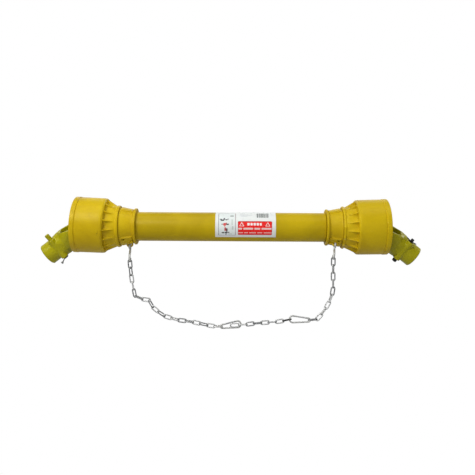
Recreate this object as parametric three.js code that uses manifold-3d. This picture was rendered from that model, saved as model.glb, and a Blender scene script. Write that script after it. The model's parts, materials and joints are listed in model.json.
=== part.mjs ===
// Guarded universal joint shaft (agricultural cardan drive shaft) with restraint chains.
// Frame: millimetres, +Z up, X along the shaft, front towards -Y, origin on the shaft axis
// midway between the two joint centres. The right-hand (+X) half telescopes out.
import * as THREE from 'three';
import { mergeVertices } from 'three/addons/utils/BufferGeometryUtils.js';
import Module from 'manifold-3d';

const manifold = await Module();
manifold.setup();

const DEG = Math.PI / 180;
const QUARTER = Math.PI / 2;

// ---- driving dimensions (R radius, IN and OUT nearer to and farther from the middle) ----
const JOINT_X = 355;          // joint centre to origin
const ROLL = 15 * DEG;        // driveline turned about its own axis
const FALL = 38 * DEG;        // axis of each end yoke below the shaft axis, in the X-Z plane
const SWAY = Math.atan(Math.tan(FALL) * Math.sin(ROLL));   // turn of each cross in its inner yoke
const DROOP = Math.asin(Math.sin(FALL) * Math.cos(ROLL));  // turn of each end yoke on its cross
const GAP = 0.3;              // running gap between neighbours

const CUP_R = 13.5;
const CUP_END = 37.3;         // joint centre to the outer face of a cup
const TRUNNION_R = 8.3;
const TRUNNION_END = 33.8;
const CUP_BORE_R = TRUNNION_R + 0.5;
const CUP_BORE_END = TRUNNION_END + 0.5;
const EAR_R = 21;
const EAR_HALF_SPAN = 41;     // across the outside of the yoke ears
const EAR_HALF_SLOT = 26;     // between the yoke ears
const HUB_R = 26;
const HUB_END = 115;
const BORE_MAJOR_R = 17.4;
const BORE_MINOR_R = 15;
const PIN_X = 80.5;           // lock pin axis in the end yoke, parallel to Z
const PIN_Y = 18;
const PIN_R = 5.5;
const PIN_TOP = { left: 42.5, right: 34.5 };
const PIN_TAIL = { left: -30, right: -36 };   // the right pin rests pushed in
const NECK_R = 33;
const NECK_END = 89;
const GROOVE_R = 30;
const ROLL_PIN_X = 81.7;      // roll pin from the joint centre
const ROLL_PIN_HOLE_R = 5.3;

const BELL_R = 67.5;
const BELL_RIM = 377;
const BELL_BACK = 300.5;
const RIBS = 16;
const COLLAR_IN = 229;
const COLLAR_OUT = 267;
const COLLAR_PLAY = 0.65;
const TUBE_R = 35;
const TUBE_BORE_R = 32;
const INNER_TUBE_R = 31;
const INNER_TUBE_BORE_R = 28.5;
const LOBE_OFFSET = 14;       // shaft axis to the corner centres of the lobed tubes
const OUTER_LOBE_R = 13;
const INNER_LOBE_R = 8.5;
const PROFILE_WALL = 4;

const LUG = { radius: 7, centreZ: -44.1, rootZ: -38, thickness: 4.2, holeR: 3.9 };
const LUG_X = { left: 245.5, right: 250.3 };
const LUG_TURN = 28 * DEG;    // right lug, turned towards the front
const LABEL = { inner: 35.4, outer: 36.1, centreX: 35.25, length: 144.5, from: -44, to: 90 };

const LINK_WIRE_R = 1.5;
const LINK_PITCH = 21.1;
const LINK_HALF_W = 4.2;
const LINK_PLAY = 3.3;        // face link's end centre past its hinge point
const HOOK_PLAY = 3.8;        // the same where a link hangs in an S-hook
const HOOK_WIRE_R = 2;
const HOOK_LOOP_R = 5.5;
const HOOK_LEN = { left: 41, right: 37 };
const SNAP_LEN = 37;          // between the end arc centres of a snap hook
const SNAP_EYE_R = 4.3;
const SNAP_LOOP_R = 8;
const SNAP_REACH = 41;        // eye centre to the next hinge point
const GATE_WIRE_R = 1.8;

// ---- materials ----
const standard = (settings) => new THREE.MeshStandardMaterial(settings);
const finishes = {
  guard: standard({ color: 0xcdb01f, roughness: 0.45, metalness: 0 }),
  tube: standard({ color: 0xb39b14, roughness: 0.42, metalness: 0 }),
  paint: standard({ color: 0xa8a512, roughness: 0.35, metalness: 0.1 }),
  steel: standard({ color: 0x8f9194, roughness: 0.35, metalness: 0.9 }),
  raw: standard({ color: 0x5b5d5f, roughness: 0.5, metalness: 0.8 }),
  zinc: standard({ color: 0xb9bdc2, roughness: 0.35, metalness: 0.9 }),
  black: standard({ color: 0x1b1b1b, roughness: 0.5, metalness: 0.6 }),
  nylon: standard({ color: 0xd8d5c8, roughness: 0.55, metalness: 0 }),
  label: standard({ color: 0xf4f4f2, roughness: 0.4, metalness: 0 }),
  brass: standard({ color: 0xb9a25a, roughness: 0.35, metalness: 0.9 }),
};

// ---- matrices ----
const move = (x, y, z) => new THREE.Matrix4().makeTranslation(x, y, z);
const rotX = (angle) => new THREE.Matrix4().makeRotationX(angle);
const rotY = (angle) => new THREE.Matrix4().makeRotationY(angle);
const rotZ = (angle) => new THREE.Matrix4().makeRotationZ(angle);
const chain = (...matrices) => matrices.reduce((a, b) => a.clone().multiply(b));
const aboutY = rotZ(QUARTER);    // X -> Y
const aboutZ = rotY(-QUARTER);   // X -> Z
const inXZ = rotX(QUARTER);      // shape in X-Z, depth along Y
const inYZ = new THREE.Matrix4().makeBasis(   // shape in Y-Z, depth along X
  new THREE.Vector3(0, 1, 0), new THREE.Vector3(0, 0, 1), new THREE.Vector3(1, 0, 0));

// ---- solid helpers ----
// Welds a geometry into a manifold solid with its faces outwards.
function toSolid(source, matrix) {
  if (matrix) source.applyMatrix4(matrix);
  for (const name of Object.keys(source.attributes)) {
    if (name !== 'position') source.deleteAttribute(name);
  }
  const welded = mergeVertices(source, 1e-4);
  const { position } = welded.attributes;
  const index = welded.index.array;
  const corner = (i) => new THREE.Vector3().fromBufferAttribute(position, i);
  const triangles = [];
  let volume = 0;
  for (let i = 0; i < index.length; i += 3) {
    const [a, b, c] = index.slice(i, i + 3);
    if (a === b || b === c || a === c) continue;
    triangles.push([a, b, c]);
    volume += corner(a).dot(corner(b).cross(corner(c)));
  }
  const wound = triangles.flatMap(([a, b, c]) => (volume < 0 ? [b, a, c] : [a, b, c]));
  return new manifold.Manifold(new manifold.Mesh({
    numProp: 3,
    vertProperties: new Float32Array(position.array),
    triVerts: new Uint32Array(wound),
  }));
}

function toGeometry(shape) {
  const mesh = shape.getMesh();
  const geometry = new THREE.BufferGeometry();
  const vertices = new Float32Array(mesh.vertProperties);
  geometry.setAttribute('position', new THREE.BufferAttribute(vertices, 3));
  geometry.setIndex(new THREE.BufferAttribute(new Uint32Array(mesh.triVerts), 1));
  geometry.computeVertexNormals();
  return geometry;
}

const placed = (shape, matrix) => shape.transform(matrix.elements);
const outline = (points) => new THREE.Shape(points.map(([a, b]) => new THREE.Vector2(a, b)));
// lower half of an outline, followed by its mirror image
const mirrored = (half) => [...half, ...[...half].reverse().map(([a, b]) => [a, -b])];
// points on a circle about the origin, angles in degrees
const arc = (radius, start, step, count) => Array.from({ length: count }, (_, i) => {
  const angle = (start + step * i) * DEG;
  return [radius * Math.cos(angle), radius * Math.sin(angle)];
});

// closed or axis-touching profile [[along, radius], ...] turned about X
function lathe(profile, segments) {
  const points = profile.map(([x, radius]) => new THREE.Vector2(radius, x));
  const touchesAxis = profile[0][1] === 0 && profile.at(-1)[1] === 0;
  if (!touchesAxis) points.push(points[0].clone());
  return toSolid(new THREE.LatheGeometry(points, segments), rotZ(-QUARTER));
}
const pipe = (outer, inner, x0, x1, segments) =>
  lathe([[x0, inner], [x0, outer], [x1, outer], [x1, inner]], segments);

function slab(shape, depth, matrix, curveSegments = 4) {
  const geometry = new THREE.ExtrudeGeometry(shape, { depth, bevelEnabled: false, curveSegments });
  geometry.translate(0, 0, -depth / 2);
  return toSolid(geometry, matrix);
}
const box = (x, y, z, matrix) => toSolid(new THREE.BoxGeometry(x, y, z), matrix);
// cylinder along Y
const rod = (radius, length, segments, matrix) =>
  toSolid(new THREE.CylinderGeometry(radius, radius, length, segments), matrix);

// six-sided wire along a smooth curve
function wireAlong(points, radius, steps) {
  const vectors = points.map((point) => new THREE.Vector3(...point));
  const extrudePath = new THREE.CatmullRomCurve3(vectors, false, 'centripetal');
  const section = outline(arc(radius, 30, 60, 6));
  return toSolid(new THREE.ExtrudeGeometry(section, { steps, extrudePath, bevelEnabled: false }));
}

// three-lobed bar with rounded corners
function lobedBar(radius, x0, x1) {
  const points = [90, 210, 330].flatMap((turn) => {
    const [[x, y]] = arc(LOBE_OFFSET, turn, 0, 1);
    return arc(radius, turn - 60, 30, 5).map(([dx, dy]) => [x + dx, y + dy]);
  });
  return placed(slab(outline(points), x1 - x0, inYZ), move((x0 + x1) / 2, 0, 0));
}

function put(name, shape, finish, parent, matrix) {
  const mesh = new THREE.Mesh(toGeometry(shape), finish);
  mesh.name = name;
  if (matrix) mesh.applyMatrix4(matrix);
  parent.add(mesh);
}

// ---- joint cross, cups, snap rings and nipple (pivots on local Y and Z) ----
function jointCross() {
  const arm = lathe([
    [-TRUNNION_END, 0], [-TRUNNION_END, TRUNNION_R], [-19, TRUNNION_R], [-19, 12],
    [19, 12], [19, TRUNNION_R], [TRUNNION_END, TRUNNION_R], [TRUNNION_END, 0],
  ], 12);
  const core = toSolid(new THREE.IcosahedronGeometry(16, 1));
  return placed(arm, aboutY).add(placed(arm, aboutZ)).add(core);
}
const cross = jointCross();
const cup = placed(lathe([
  [CUP_END, 0], [CUP_END, CUP_R], [20, CUP_R],
  [20, CUP_BORE_R], [CUP_BORE_END, CUP_BORE_R], [CUP_BORE_END, 0],
], 16), aboutY);
const snapRing = placed(pipe(CUP_R, 10, CUP_END + 0.3, CUP_END + 1.8, 14), aboutY)
  .subtract(box(8, 4, 12, move(0, 38.3, 14)));   // opening of the ring
const nipple = lathe([
  [19.6, 0], [19.6, 2], [21.2, 3.5], [23, 3.5], [23, 2.4], [26, 2.6], [27.5, 1.4], [27.5, 0],
], 8);

// ---- yokes (joint centre at the origin, +X towards the hub or neck) ----
// round nose about the pivot, then the body given by its lower half
function noseOutline(radius, lowerHalf) {
  const shape = new THREE.Shape();
  shape.absarc(0, 0, radius, 90 * DEG, 270 * DEG, false);
  for (const [a, b] of mirrored(lowerHalf)) shape.lineTo(a, b);
  shape.lineTo(0, radius);
  return shape;
}

// Yoke outlines, lower halves: [along X, across]
const END_YOKE = {
  side: [[52, -29], [66, -29], [76, -25]],
  plan: [[-22, -EAR_HALF_SPAN], [28, -EAR_HALF_SPAN], [58, -33], [76, -26]],
  slot: [[-30, -EAR_HALF_SLOT], [37, -EAR_HALF_SLOT], [48, -20], [54, -8]],
};
const TUBE_YOKE = {
  plan: [[46, -27], [60, -30]],
  side: [[-22, -EAR_HALF_SPAN], [26, -EAR_HALF_SPAN], [50, -33], [60, -31]],
  slot: [[-30, -EAR_HALF_SLOT], [34, -EAR_HALF_SLOT], [42, -20], [46, -8]],
};
const EAR_STOCK = 2 * EAR_HALF_SPAN + 4;

function splineBore() {
  // one of six teeth: [degrees, radius]
  const tooth = [
    [-17, BORE_MAJOR_R], [0, BORE_MAJOR_R], [17, BORE_MAJOR_R],
    [20, BORE_MINOR_R], [40, BORE_MINOR_R],
  ];
  const points = [];
  for (let k = 0; k < 6; k++) {
    for (const [angle, radius] of tooth) points.push(...arc(radius, 60 * k + angle, 0, 1));
  }
  return placed(slab(outline(points), 90, inYZ), move(85, 0, 0));
}

const pinRod = (radius, length, segments, z = 0) =>
  rod(radius, length, segments, chain(move(PIN_X, PIN_Y, z), rotX(QUARTER)));

// pivot on Y
function endYoke() {
  const hub = lathe([
    [64, 0], [64, HUB_R], [HUB_END - 1.5, HUB_R], [HUB_END, HUB_R - 1.5], [HUB_END, 0],
  ], 20);
  // forged outline, round about the hub axis
  const envelope = lathe([
    [-24, 0], [-24, 40], [-14, 43.5], [34, 43.5], [54, 34],
    [60, 30], [70, 29.5], [72, 34], [120, 34], [120, 0],
  ], 18);
  return slab(noseOutline(EAR_R, END_YOKE.side), EAR_STOCK, inXZ, 6)
    .intersect(slab(outline(mirrored(END_YOKE.plan)), 64))
    .subtract(slab(outline(mirrored(END_YOKE.slot)), 70))
    .add(hub)
    .add(pinRod(9.5, 54, 12))                  // lock pin boss
    .subtract(rod(CUP_R + GAP, 100, 16))
    .intersect(envelope)
    .subtract(splineBore())
    .subtract(pinRod(PIN_R + 0.45, 80, 10))
    .subtract(pinRod(7.8, 19.5, 10, 10.2));    // spring pocket
}

// pivot on Z
function tubeYoke(socketR) {
  const neck = lathe([
    [56, 0], [56, NECK_R - 2], [58, NECK_R], [65.7, NECK_R], [65.7, GROOVE_R],
    [74.3, GROOVE_R], [74.3, NECK_R], [NECK_END, NECK_R], [NECK_END, 0],
  ], 22);
  return slab(noseOutline(EAR_R - 1, TUBE_YOKE.plan), EAR_STOCK, null, 6)
    .intersect(slab(outline(mirrored(TUBE_YOKE.side)), 70, inXZ))
    .subtract(slab(outline(mirrored(TUBE_YOKE.slot)), 80, inXZ))
    .add(neck)
    .subtract(rod(CUP_R + GAP, 100, 16, rotX(QUARTER)))
    .subtract(lobedBar(socketR, 67.5, 95))
    .subtract(rod(ROLL_PIN_HOLE_R, 80, 12, move(ROLL_PIN_X, 0, 0)));
}

// ---- lock pin, spring and clips ----
const aboutPin = chain(move(PIN_X, PIN_Y, 0), aboutZ);
function lockPin(side) {
  const top = PIN_TOP[side];
  const tail = PIN_TAIL[side];
  return placed(lathe([
    [tail, 0], [tail, 4], [-27.2, 4], [-27.2, PIN_R], [top - 1.5, PIN_R], [top, 4.3], [top, 0],
  ], 10), aboutPin);
}
const lockSpring = placed(pipe(7.3, 5.8, 7, 19, 12), aboutPin);
const clipRing = placed(pipe(6.8, 4.3, -29.8, -28, 12), aboutPin);
const clipTail = rod(1.2, 14, 6, chain(
  move(PIN_X + 5.5, PIN_Y, -29.1), rotY(24 * DEG), move(6.5, 0, 0), rotZ(-QUARTER)));
const lockClip = {
  left: clipRing.add(clipTail),
  right: clipRing
    .add(box(9, 5, 1.6, move(PIN_X - 9.2, PIN_Y, -29.6)))
    .add(box(8, 5, 1.6, move(PIN_X + 8.8, PIN_Y, -29.6))),
};

// ---- roll pin and lobed drive tubes ----
const rollPin = rod(5, 61, 12)
  .subtract(rod(3.2, 70, 12))
  .subtract(box(6, 80, 1.4, move(4, 0, 0)));   // slit
const profileTube = (radius, x0, x1, holeX) => lobedBar(radius, x0, x1)
  .subtract(lobedBar(radius - PROFILE_WALL, x0 - 5, x1 + 5))
  .subtract(rod(ROLL_PIN_HOLE_R, 80, 12, move(holeX, 0, 0)));

// ---- guards (drawn for the +X half) ----
function guardCone() {
  let cone = lathe([
    [BELL_RIM, 64.4], [BELL_RIM, BELL_R], [306, 66.6], [302.5, 64.5], [BELL_BACK, 60],
    [BELL_BACK, 49.5], [277, 49.5], [277, 50.3], [268, 50.3], [268, 34.5],
    [271, 34.5], [271, 46.5], [304, 46.5], [304, 60.5], [307, 63.4],
  ], 32);
  const ribOutline = outline([[274, 48], [274, 51], [298, 62], [302, 63.5], [302, 48]]);
  const rib = slab(ribOutline, 3, inXZ);
  for (let i = 0; i < RIBS; i++) {
    cone = cone.add(placed(rib, rotX(((i + 0.5) * 360 / RIBS) * DEG)));
  }
  return cone;
}

// collar with a drilled lug for the chain, hanging down before it is turned
function lockCollar(boreR, lugTurn, lugX) {
  const body = lathe([
    [COLLAR_OUT, 34], [COLLAR_OUT, 47], [239, 40], [235, 40], [235, 44],
    [COLLAR_IN, 44], [COLLAR_IN, boreR], [263, boreR], [263, 34],
  ], 24);
  const { radius, centreZ, rootZ, thickness, holeR } = LUG;
  const lug = new THREE.Shape();
  lug.moveTo(-radius, rootZ);
  lug.lineTo(-radius, centreZ);
  lug.absarc(0, centreZ, radius, Math.PI, 2 * Math.PI, false);
  lug.lineTo(radius, rootZ);
  const turn = rotX(lugTurn);
  return body
    .add(slab(lug, thickness, chain(turn, move(lugX, 0, 0), inXZ), 6))
    .subtract(rod(holeR, 10, 12, chain(turn, move(lugX, 0, centreZ))));
}

const guardBearing = lathe([
  [281.5, 30.8], [281.5, 34.5], [283, 34.5], [283, 44],
  [287, 44], [287, 34.5], [288.5, 34.5], [288.5, 30.8],
], 22).subtract(box(10, 3, 20, move(285, 0, 40)));

// label wrapped round the front of the tube, from below up to the top
function safetyLabel() {
  const { inner, outer, centreX, length, from, to } = LABEL;
  const steps = 12;
  const edge = (radius) => arc(radius, from, (to - from) / steps, steps + 1)
    .map(([a, b]) => [-a, b]);
  const section = outline([...edge(outer), ...edge(inner).reverse()]);
  return placed(slab(section, length, inYZ), move(centreX, 0, 0));
}

// ---- chain hardware ----
function chainLink() {
  const around = 8;
  const torus = new THREE.TorusGeometry(LINK_HALF_W, LINK_WIRE_R, 4, around);
  torus.rotateZ(Math.PI / around);
  const { position } = torus.attributes;
  const stretch = (LINK_PITCH - 2 * LINK_HALF_W) / 2;
  for (let i = 0; i < position.count; i++) {
    const x = position.getX(i);
    position.setX(i, x + Math.sign(x) * stretch);
  }
  return toSolid(torus);
}
const link = chainLink();

// Stops [x, z] along a polyline, each a straight step of the given length from the last.
function walk(path, steps) {
  const stops = [path[0]];
  let segment = 0;
  let reached = 0;   // fraction of the segment already passed
  for (const step of steps) {
    const [x, z] = stops.at(-1);
    let hit = null;
    for (let k = segment; k < path.length - 1 && !hit; k++) {
      const [startX, startZ] = path[k];
      const dx = path[k + 1][0] - startX;
      const dz = path[k + 1][1] - startZ;
      // circle of radius step about the last stop meets the segment line
      const square = dx * dx + dz * dz;
      const linear = 2 * ((startX - x) * dx + (startZ - z) * dz);
      const constant = (startX - x) ** 2 + (startZ - z) ** 2 - step * step;
      const discriminant = linear * linear - 4 * square * constant;
      if (discriminant < 0) continue;
      const along = (-linear + Math.sqrt(discriminant)) / (2 * square);
      const least = (k === segment ? reached : 0) - 1e-9;
      if (along >= least && (along <= 1 || k === path.length - 2)) {
        hit = [startX + dx * along, startZ + dz * along];
        segment = k;
        reached = along;
      }
    }
    stops.push(hit);
  }
  return stops;
}

const direction = (from, to) => to.clone().sub(from).normalize();
// local X from one point to the next; local Y (edge-on) or Z (face-on) nearest to world Y
function frameAlong(from, to, edgeOn) {
  const along = direction(from, to);
  const side = new THREE.Vector3(0, 1, 0);
  side.addScaledVector(along, -side.dot(along)).normalize();
  const third = edgeOn ? along.clone().cross(side) : side.clone().cross(along);
  const frame = new THREE.Matrix4();
  return edgeOn ? frame.makeBasis(along, side, third) : frame.makeBasis(along, third, side);
}

// One strand of touching links between hinge points, as a solid about the first point.
// Odd links are edge-on and even links face-on, counted from firstLink.
function strand(hinges, firstLink, firstPlay) {
  let links = null;
  for (let i = 0; i < hinges.length - 1; i++) {
    const edgeOn = (firstLink + i) % 2 === 1;
    const start = hinges[i];
    const end = hinges[i + 1];
    const along = direction(start, end);
    const startPlay = i === 0 ? firstPlay : LINK_PLAY;
    const shift = edgeOn ? 0 : (LINK_PLAY - startPlay) / 2;
    const centre = start.clone().add(end).multiplyScalar(0.5).addScaledVector(along, shift);
    const frame = frameAlong(start, end, edgeOn);
    const next = placed(link, chain(move(...centre), frame));
    links = links ? links.add(next) : next;
    if (i > 0) { // contact spot with the link before
      const facing = edgeOn ? direction(hinges[i - 1], start) : along.negate();
      const spot = start.clone().addScaledVector(facing, LINK_PLAY / 2);
      links = links.add(toSolid(new THREE.OctahedronGeometry(1.2, 0), move(...spot)));
    }
  }
  return placed(links, move(...hinges[0].clone().negate()));
}

// S-hook in the Y-Z plane, top of the upper loop at the origin, hanging down
function sHook(length) {
  const topZ = -HOOK_LOOP_R;
  const lowZ = -length + HOOK_LOOP_R;
  const middleZ = (topZ + lowZ) / 2;
  const loop = (start, step, centreZ) =>
    arc(HOOK_LOOP_R, start, step, 6).map(([y, z]) => [0, y, centreZ + z]);
  return wireAlong([
    ...loop(215, -36, topZ),
    [0, HOOK_LOOP_R * 0.55, middleZ + 3.5],
    [0, -HOOK_LOOP_R * 0.55, middleZ - 3.5],
    ...loop(180, 36, lowZ),
  ], HOOK_WIRE_R, 22);
}

// Snap hook in the X-Z plane: eye arc about the origin, wide arc SNAP_LEN along +X.
// Point on its straight flank: fraction 0 at the eye, 1 at the wide arc, side 1 or -1 in Z.
function flank(fraction, side = 1) {
  const tilt = Math.asin((SNAP_LOOP_R - SNAP_EYE_R) / SNAP_LEN);
  const radius = SNAP_EYE_R + (SNAP_LOOP_R - SNAP_EYE_R) * fraction;
  return [SNAP_LEN * fraction - Math.sin(tilt) * radius, 0, side * Math.cos(tilt) * radius];
}
const snapHook = wireAlong([
  flank(0.24), flank(0.12),
  ...arc(SNAP_EYE_R, 90, 36, 6).map(([x, z]) => [x, 0, z]),
  flank(0.25, -1), flank(0.6, -1),
  ...arc(SNAP_LOOP_R, -90, 30, 7).map(([x, z]) => [SNAP_LEN + x, 0, z]),
  flank(0.88),
], HOOK_WIRE_R, 26);
const snapGate = wireAlong([flank(0.27), flank(0.85)], GATE_WIRE_R, 1);

// ---- assembly: driveline ----
const shaft = new THREE.Group();
const driveline = new THREE.Group();
driveline.rotation.x = ROLL;
shaft.add(driveline);

const yoke = endYoke();
function addJoint(side, sign) {
  const joint = new THREE.Group();   // +X points outwards
  joint.applyMatrix4(chain(move(sign * JOINT_X, 0, 0), rotZ(sign < 0 ? Math.PI : 0)));
  driveline.add(joint);

  const swung = new THREE.Group();   // turns with the cross
  swung.rotation.z = -sign * SWAY;
  joint.add(swung);
  put(`cross_${side}`, cross, finishes.steel, swung);
  put(`grease_nipple_${side}`, nipple, finishes.brass, swung, chain(rotX(45 * DEG), aboutY));

  // end yoke, hanging down; the right one is turned over so its lock pin points down
  const end = new THREE.Group();
  end.applyMatrix4(chain(rotY(DROOP), rotX(sign < 0 ? 0 : Math.PI)));
  swung.add(end);
  put(`end_yoke_${side}`, yoke, finishes.paint, end);
  put(`lock_pin_${side}`, lockPin(side), sign < 0 ? finishes.paint : finishes.black, end);
  put(`lock_pin_spring_${side}`, lockSpring, finishes.raw, end);
  put(`lock_pin_clip_${side}`, lockClip[side], finishes.black, end);

  const [minusY, plusY] = sign < 0 ? ['rear', 'front'] : ['front', 'rear'];
  const flip = rotX(Math.PI);
  put(`bearing_cup_${side}_${minusY}`, cup, finishes.steel, swung, flip);
  put(`bearing_cup_${side}_${plusY}`, cup, finishes.steel, swung);
  put(`snap_ring_${side}_${minusY}`, snapRing, finishes.black, swung, flip);
  put(`snap_ring_${side}_${plusY}`, snapRing, finishes.black, swung);
  put(`bearing_cup_${side}_upper`, cup, finishes.steel, joint, rotX(QUARTER));
  put(`bearing_cup_${side}_lower`, cup, finishes.steel, joint, rotX(-QUARTER));

  const inward = new THREE.Group();
  inward.rotation.z = Math.PI;
  joint.add(inward);
  const socketR = (sign < 0 ? OUTER_LOBE_R : INNER_LOBE_R) + GAP;
  put(`inner_yoke_${side}`, tubeYoke(socketR), finishes.raw, inward);
  put(`roll_pin_${side}`, rollPin, finishes.black, inward, move(ROLL_PIN_X, 0, 0));
}
addJoint('left', -1);
addJoint('right', 1);

const holeX = JOINT_X - ROLL_PIN_X;
const outerProfile = profileTube(OUTER_LOBE_R, -286, 200, -holeX);
const innerProfile = profileTube(INNER_LOBE_R, -220, 286, holeX);
put('outer_profile_tube', outerProfile, finishes.raw, driveline);
put('inner_profile_tube', innerProfile, finishes.raw, driveline);

// ---- assembly: guards ----
const cone = guardCone();
const half = { left: new THREE.Group(), right: new THREE.Group() };
half.left.rotation.z = Math.PI;
shaft.add(half.left, half.right);
for (const side of ['left', 'right']) {
  put(`guard_cone_${side}`, cone, finishes.guard, half[side]);
  put(`guard_bearing_${side}`, guardBearing, finishes.nylon, half[side]);
}
const leftCollar = lockCollar(TUBE_R + COLLAR_PLAY, 0, LUG_X.left);
const rightCollar = lockCollar(INNER_TUBE_R + COLLAR_PLAY, -LUG_TURN, LUG_X.right);
put('lock_collar_left', leftCollar, finishes.guard, half.left);
put('lock_collar_right', rightCollar, finishes.guard, half.right);
put('outer_guard_tube', pipe(TUBE_R, TUBE_BORE_R, -262, 228, 32), finishes.tube, shaft);
const innerGuard = pipe(INNER_TUBE_R, INNER_TUBE_BORE_R, -200, 262, 28);
put('inner_guard_tube', innerGuard, finishes.tube, shaft);
put('safety_label', safetyLabel(), finishes.label, shaft);

// ---- assembly: restraint chains ----
// Hinge spacings along a chain
const EDGE = LINK_PITCH;
const FACE = LINK_PITCH - 2 * LINK_PLAY;
const FIRST = LINK_PITCH - LINK_PLAY - HOOK_PLAY;
const LAST = LINK_PITCH - LINK_PLAY;
const hangingSteps = (pairs) => [FIRST, EDGE, ...Array(pairs).fill([FACE, EDGE]).flat()];
const pointAt = ([x, z], y) => new THREE.Vector3(x, y, z);

function addZinc(name, shape, position) {
  const group = new THREE.Group();
  group.position.copy(position);
  shaft.add(group);
  put(name, shape, finishes.zinc, group);
}

// linkCounts: links in each strand of the chain
function addStrands(prefix, hinges, linkCounts, firstLink, firstPlay) {
  let start = 0;
  linkCounts.forEach((count, k) => {
    const part = hinges.slice(start, start + count + 1);
    const play = start === 0 ? firstPlay : LINK_PLAY;
    addZinc(`${prefix}_${k + 1}`, strand(part, firstLink + start, play), part[0]);
    start += count;
  });
}

// eye at the first point, wide arc towards the second, gate on the upper side
function addSnapHook(side, eye, far) {
  const group = new THREE.Group();
  const turn = rotX(Math.sign(far.x - eye.x) * QUARTER);
  group.position.copy(eye);
  group.quaternion.setFromRotationMatrix(chain(frameAlong(eye, far, false), turn));
  shaft.add(group);
  put(`snap_hook_${side}`, snapHook, finishes.zinc, group);
  put(`snap_gate_${side}`, snapGate, finishes.zinc, group);
}

// left chain: hangs from the collar, runs to the left snap hook; points [x, z]
const LEFT_TOP = [-LUG_X.left, -44.2];
const LEFT_PATH = [
  [LEFT_TOP[0], LEFT_TOP[1] - HOOK_LEN.left],
  [-245, -92], [-241, -128], [-232, -172], [-217.8, -176.3], [-190, -180.5], [-187.5, -199.8],
  [-159, -218], [-131, -227], [-95, -231], [-57, -239], [-28.8, -243.8], [22, -236],
];
const leftHinges = walk(LEFT_PATH, [...hangingSteps(8), SNAP_REACH])
  .map((stop) => pointAt(stop, 0));
addZinc('s_hook_left', sHook(HOOK_LEN.left), pointAt(LEFT_TOP, 0));
addStrands('chain_left', leftHinges, [3, 2, 2, 2, 2, 2, 2, 3], 0, HOOK_PLAY);
addSnapHook('left', leftHinges[18], leftHinges[19]);

// right chain: hangs from the collar to the right snap hook; the middle chain runs on from
// there towards the left snap hook; points [x, z]
const RIGHT_Y = -23.3;
const MIDDLE_END_Y = -8.6;
const RIGHT_TOP = [LUG_X.right, -38.35];
const RIGHT_LOW = [246.05, -75.11];
const RIGHT_PATH = [
  RIGHT_LOW, [246, -110], [246.5, -150], [243, -166], [233.5, -188], [219.4, -209],
  [208, -222], [203, -224], [144, -221.5], [137, -223.5], [120, -227.5], [99.5, -229.5],
  [84, -230.5], [62.4, -232.5], [31, -236.5], [0, -238.5],
];
const middleSteps = [EDGE, FACE, EDGE, FACE, EDGE, FACE, EDGE, LAST];
const rightSteps = [...hangingSteps(4), SNAP_REACH, ...middleSteps];
const sum = (numbers) => numbers.reduce((a, b) => a + b, 0);
const rightHinges = walk(RIGHT_PATH, rightSteps).map((stop, i) => {
  const fraction = sum(rightSteps.slice(0, i)) / sum(rightSteps);
  return pointAt(stop, RIGHT_Y + (MIDDLE_END_Y - RIGHT_Y) * fraction);
});
const hookLean = Math.atan2(RIGHT_TOP[0] - RIGHT_LOW[0], RIGHT_TOP[1] - RIGHT_LOW[1]);
const rightHook = placed(sHook(HOOK_LEN.right), rotY(hookLean));
addZinc('s_hook_right', rightHook, pointAt(RIGHT_TOP, RIGHT_Y));
addStrands('chain_right', rightHinges, [3, 2, 2, 3], 0, HOOK_PLAY);
addSnapHook('right', rightHinges[10], rightHinges[11]);
addStrands('chain_middle', rightHinges.slice(11), [2, 3, 3], 1, LINK_PLAY);

export default shaft;
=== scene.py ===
"""Guarded universal joint shaft with its safety chains.

The shaft lies along X about the origin, Z is up and the front faces -Y. Left is -X and
right is +X. Each end has a guard cone, a collar and a joint whose end yoke falls outwards
and down; the chains hang below. Shapes are in millimetres until piece() turns them into
metres. Outlines of turned parts list (x, radius) or (x, radius, fillet radius).
"""
import json
import math

import bmesh
import bpy
import numpy as np
from mathutils import Matrix, Vector


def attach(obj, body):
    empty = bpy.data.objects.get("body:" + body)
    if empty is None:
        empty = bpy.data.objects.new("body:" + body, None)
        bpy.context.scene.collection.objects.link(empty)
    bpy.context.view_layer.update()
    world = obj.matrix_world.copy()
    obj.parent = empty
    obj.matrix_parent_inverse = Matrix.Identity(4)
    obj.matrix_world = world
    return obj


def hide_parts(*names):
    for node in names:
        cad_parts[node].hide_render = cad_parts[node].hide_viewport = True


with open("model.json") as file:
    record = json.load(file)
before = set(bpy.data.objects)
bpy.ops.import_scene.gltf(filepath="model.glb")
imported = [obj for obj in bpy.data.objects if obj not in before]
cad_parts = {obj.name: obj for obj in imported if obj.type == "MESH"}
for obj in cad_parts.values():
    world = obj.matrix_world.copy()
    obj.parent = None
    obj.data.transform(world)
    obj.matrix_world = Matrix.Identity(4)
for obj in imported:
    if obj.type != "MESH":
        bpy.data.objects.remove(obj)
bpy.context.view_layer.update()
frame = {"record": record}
record = frame["record"]
BODY = {node: body for body, nodes in record["behaviour"]["bodies"].items() for node in nodes}
SLOT = {part["node"]: part["material_slot"] for part in record["subparts"]}
DEG = math.pi / 180

# Driving dimensions, in mm
OUTER_TUBE_R = 35        # outside of the outer guard tube
INNER_TUBE_R = 31        # outside of the inner guard tube
FIT = 0.25               # gap between a tube and the part it enters
JOINT_X = 355.0          # joint centre from the middle of the shaft
ROLL_PIN_X = 81.7        # roll pin from the joint centre
LOCK_X, LOCK_Y = 80.5, 18   # lock pin axis in its end yoke
LOBE_CENTRE_R = 14       # lobe centres of the profile tubes, from the axis
OUTER_LOBE_R, INNER_LOBE_R = 13, 8.5
PROFILE_WALL = 4
ROLL_HOLE_R = 5.25
EYE_X = {"left": 245.5, "right": 250.3}   # chain eyes, outwards from the middle


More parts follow.
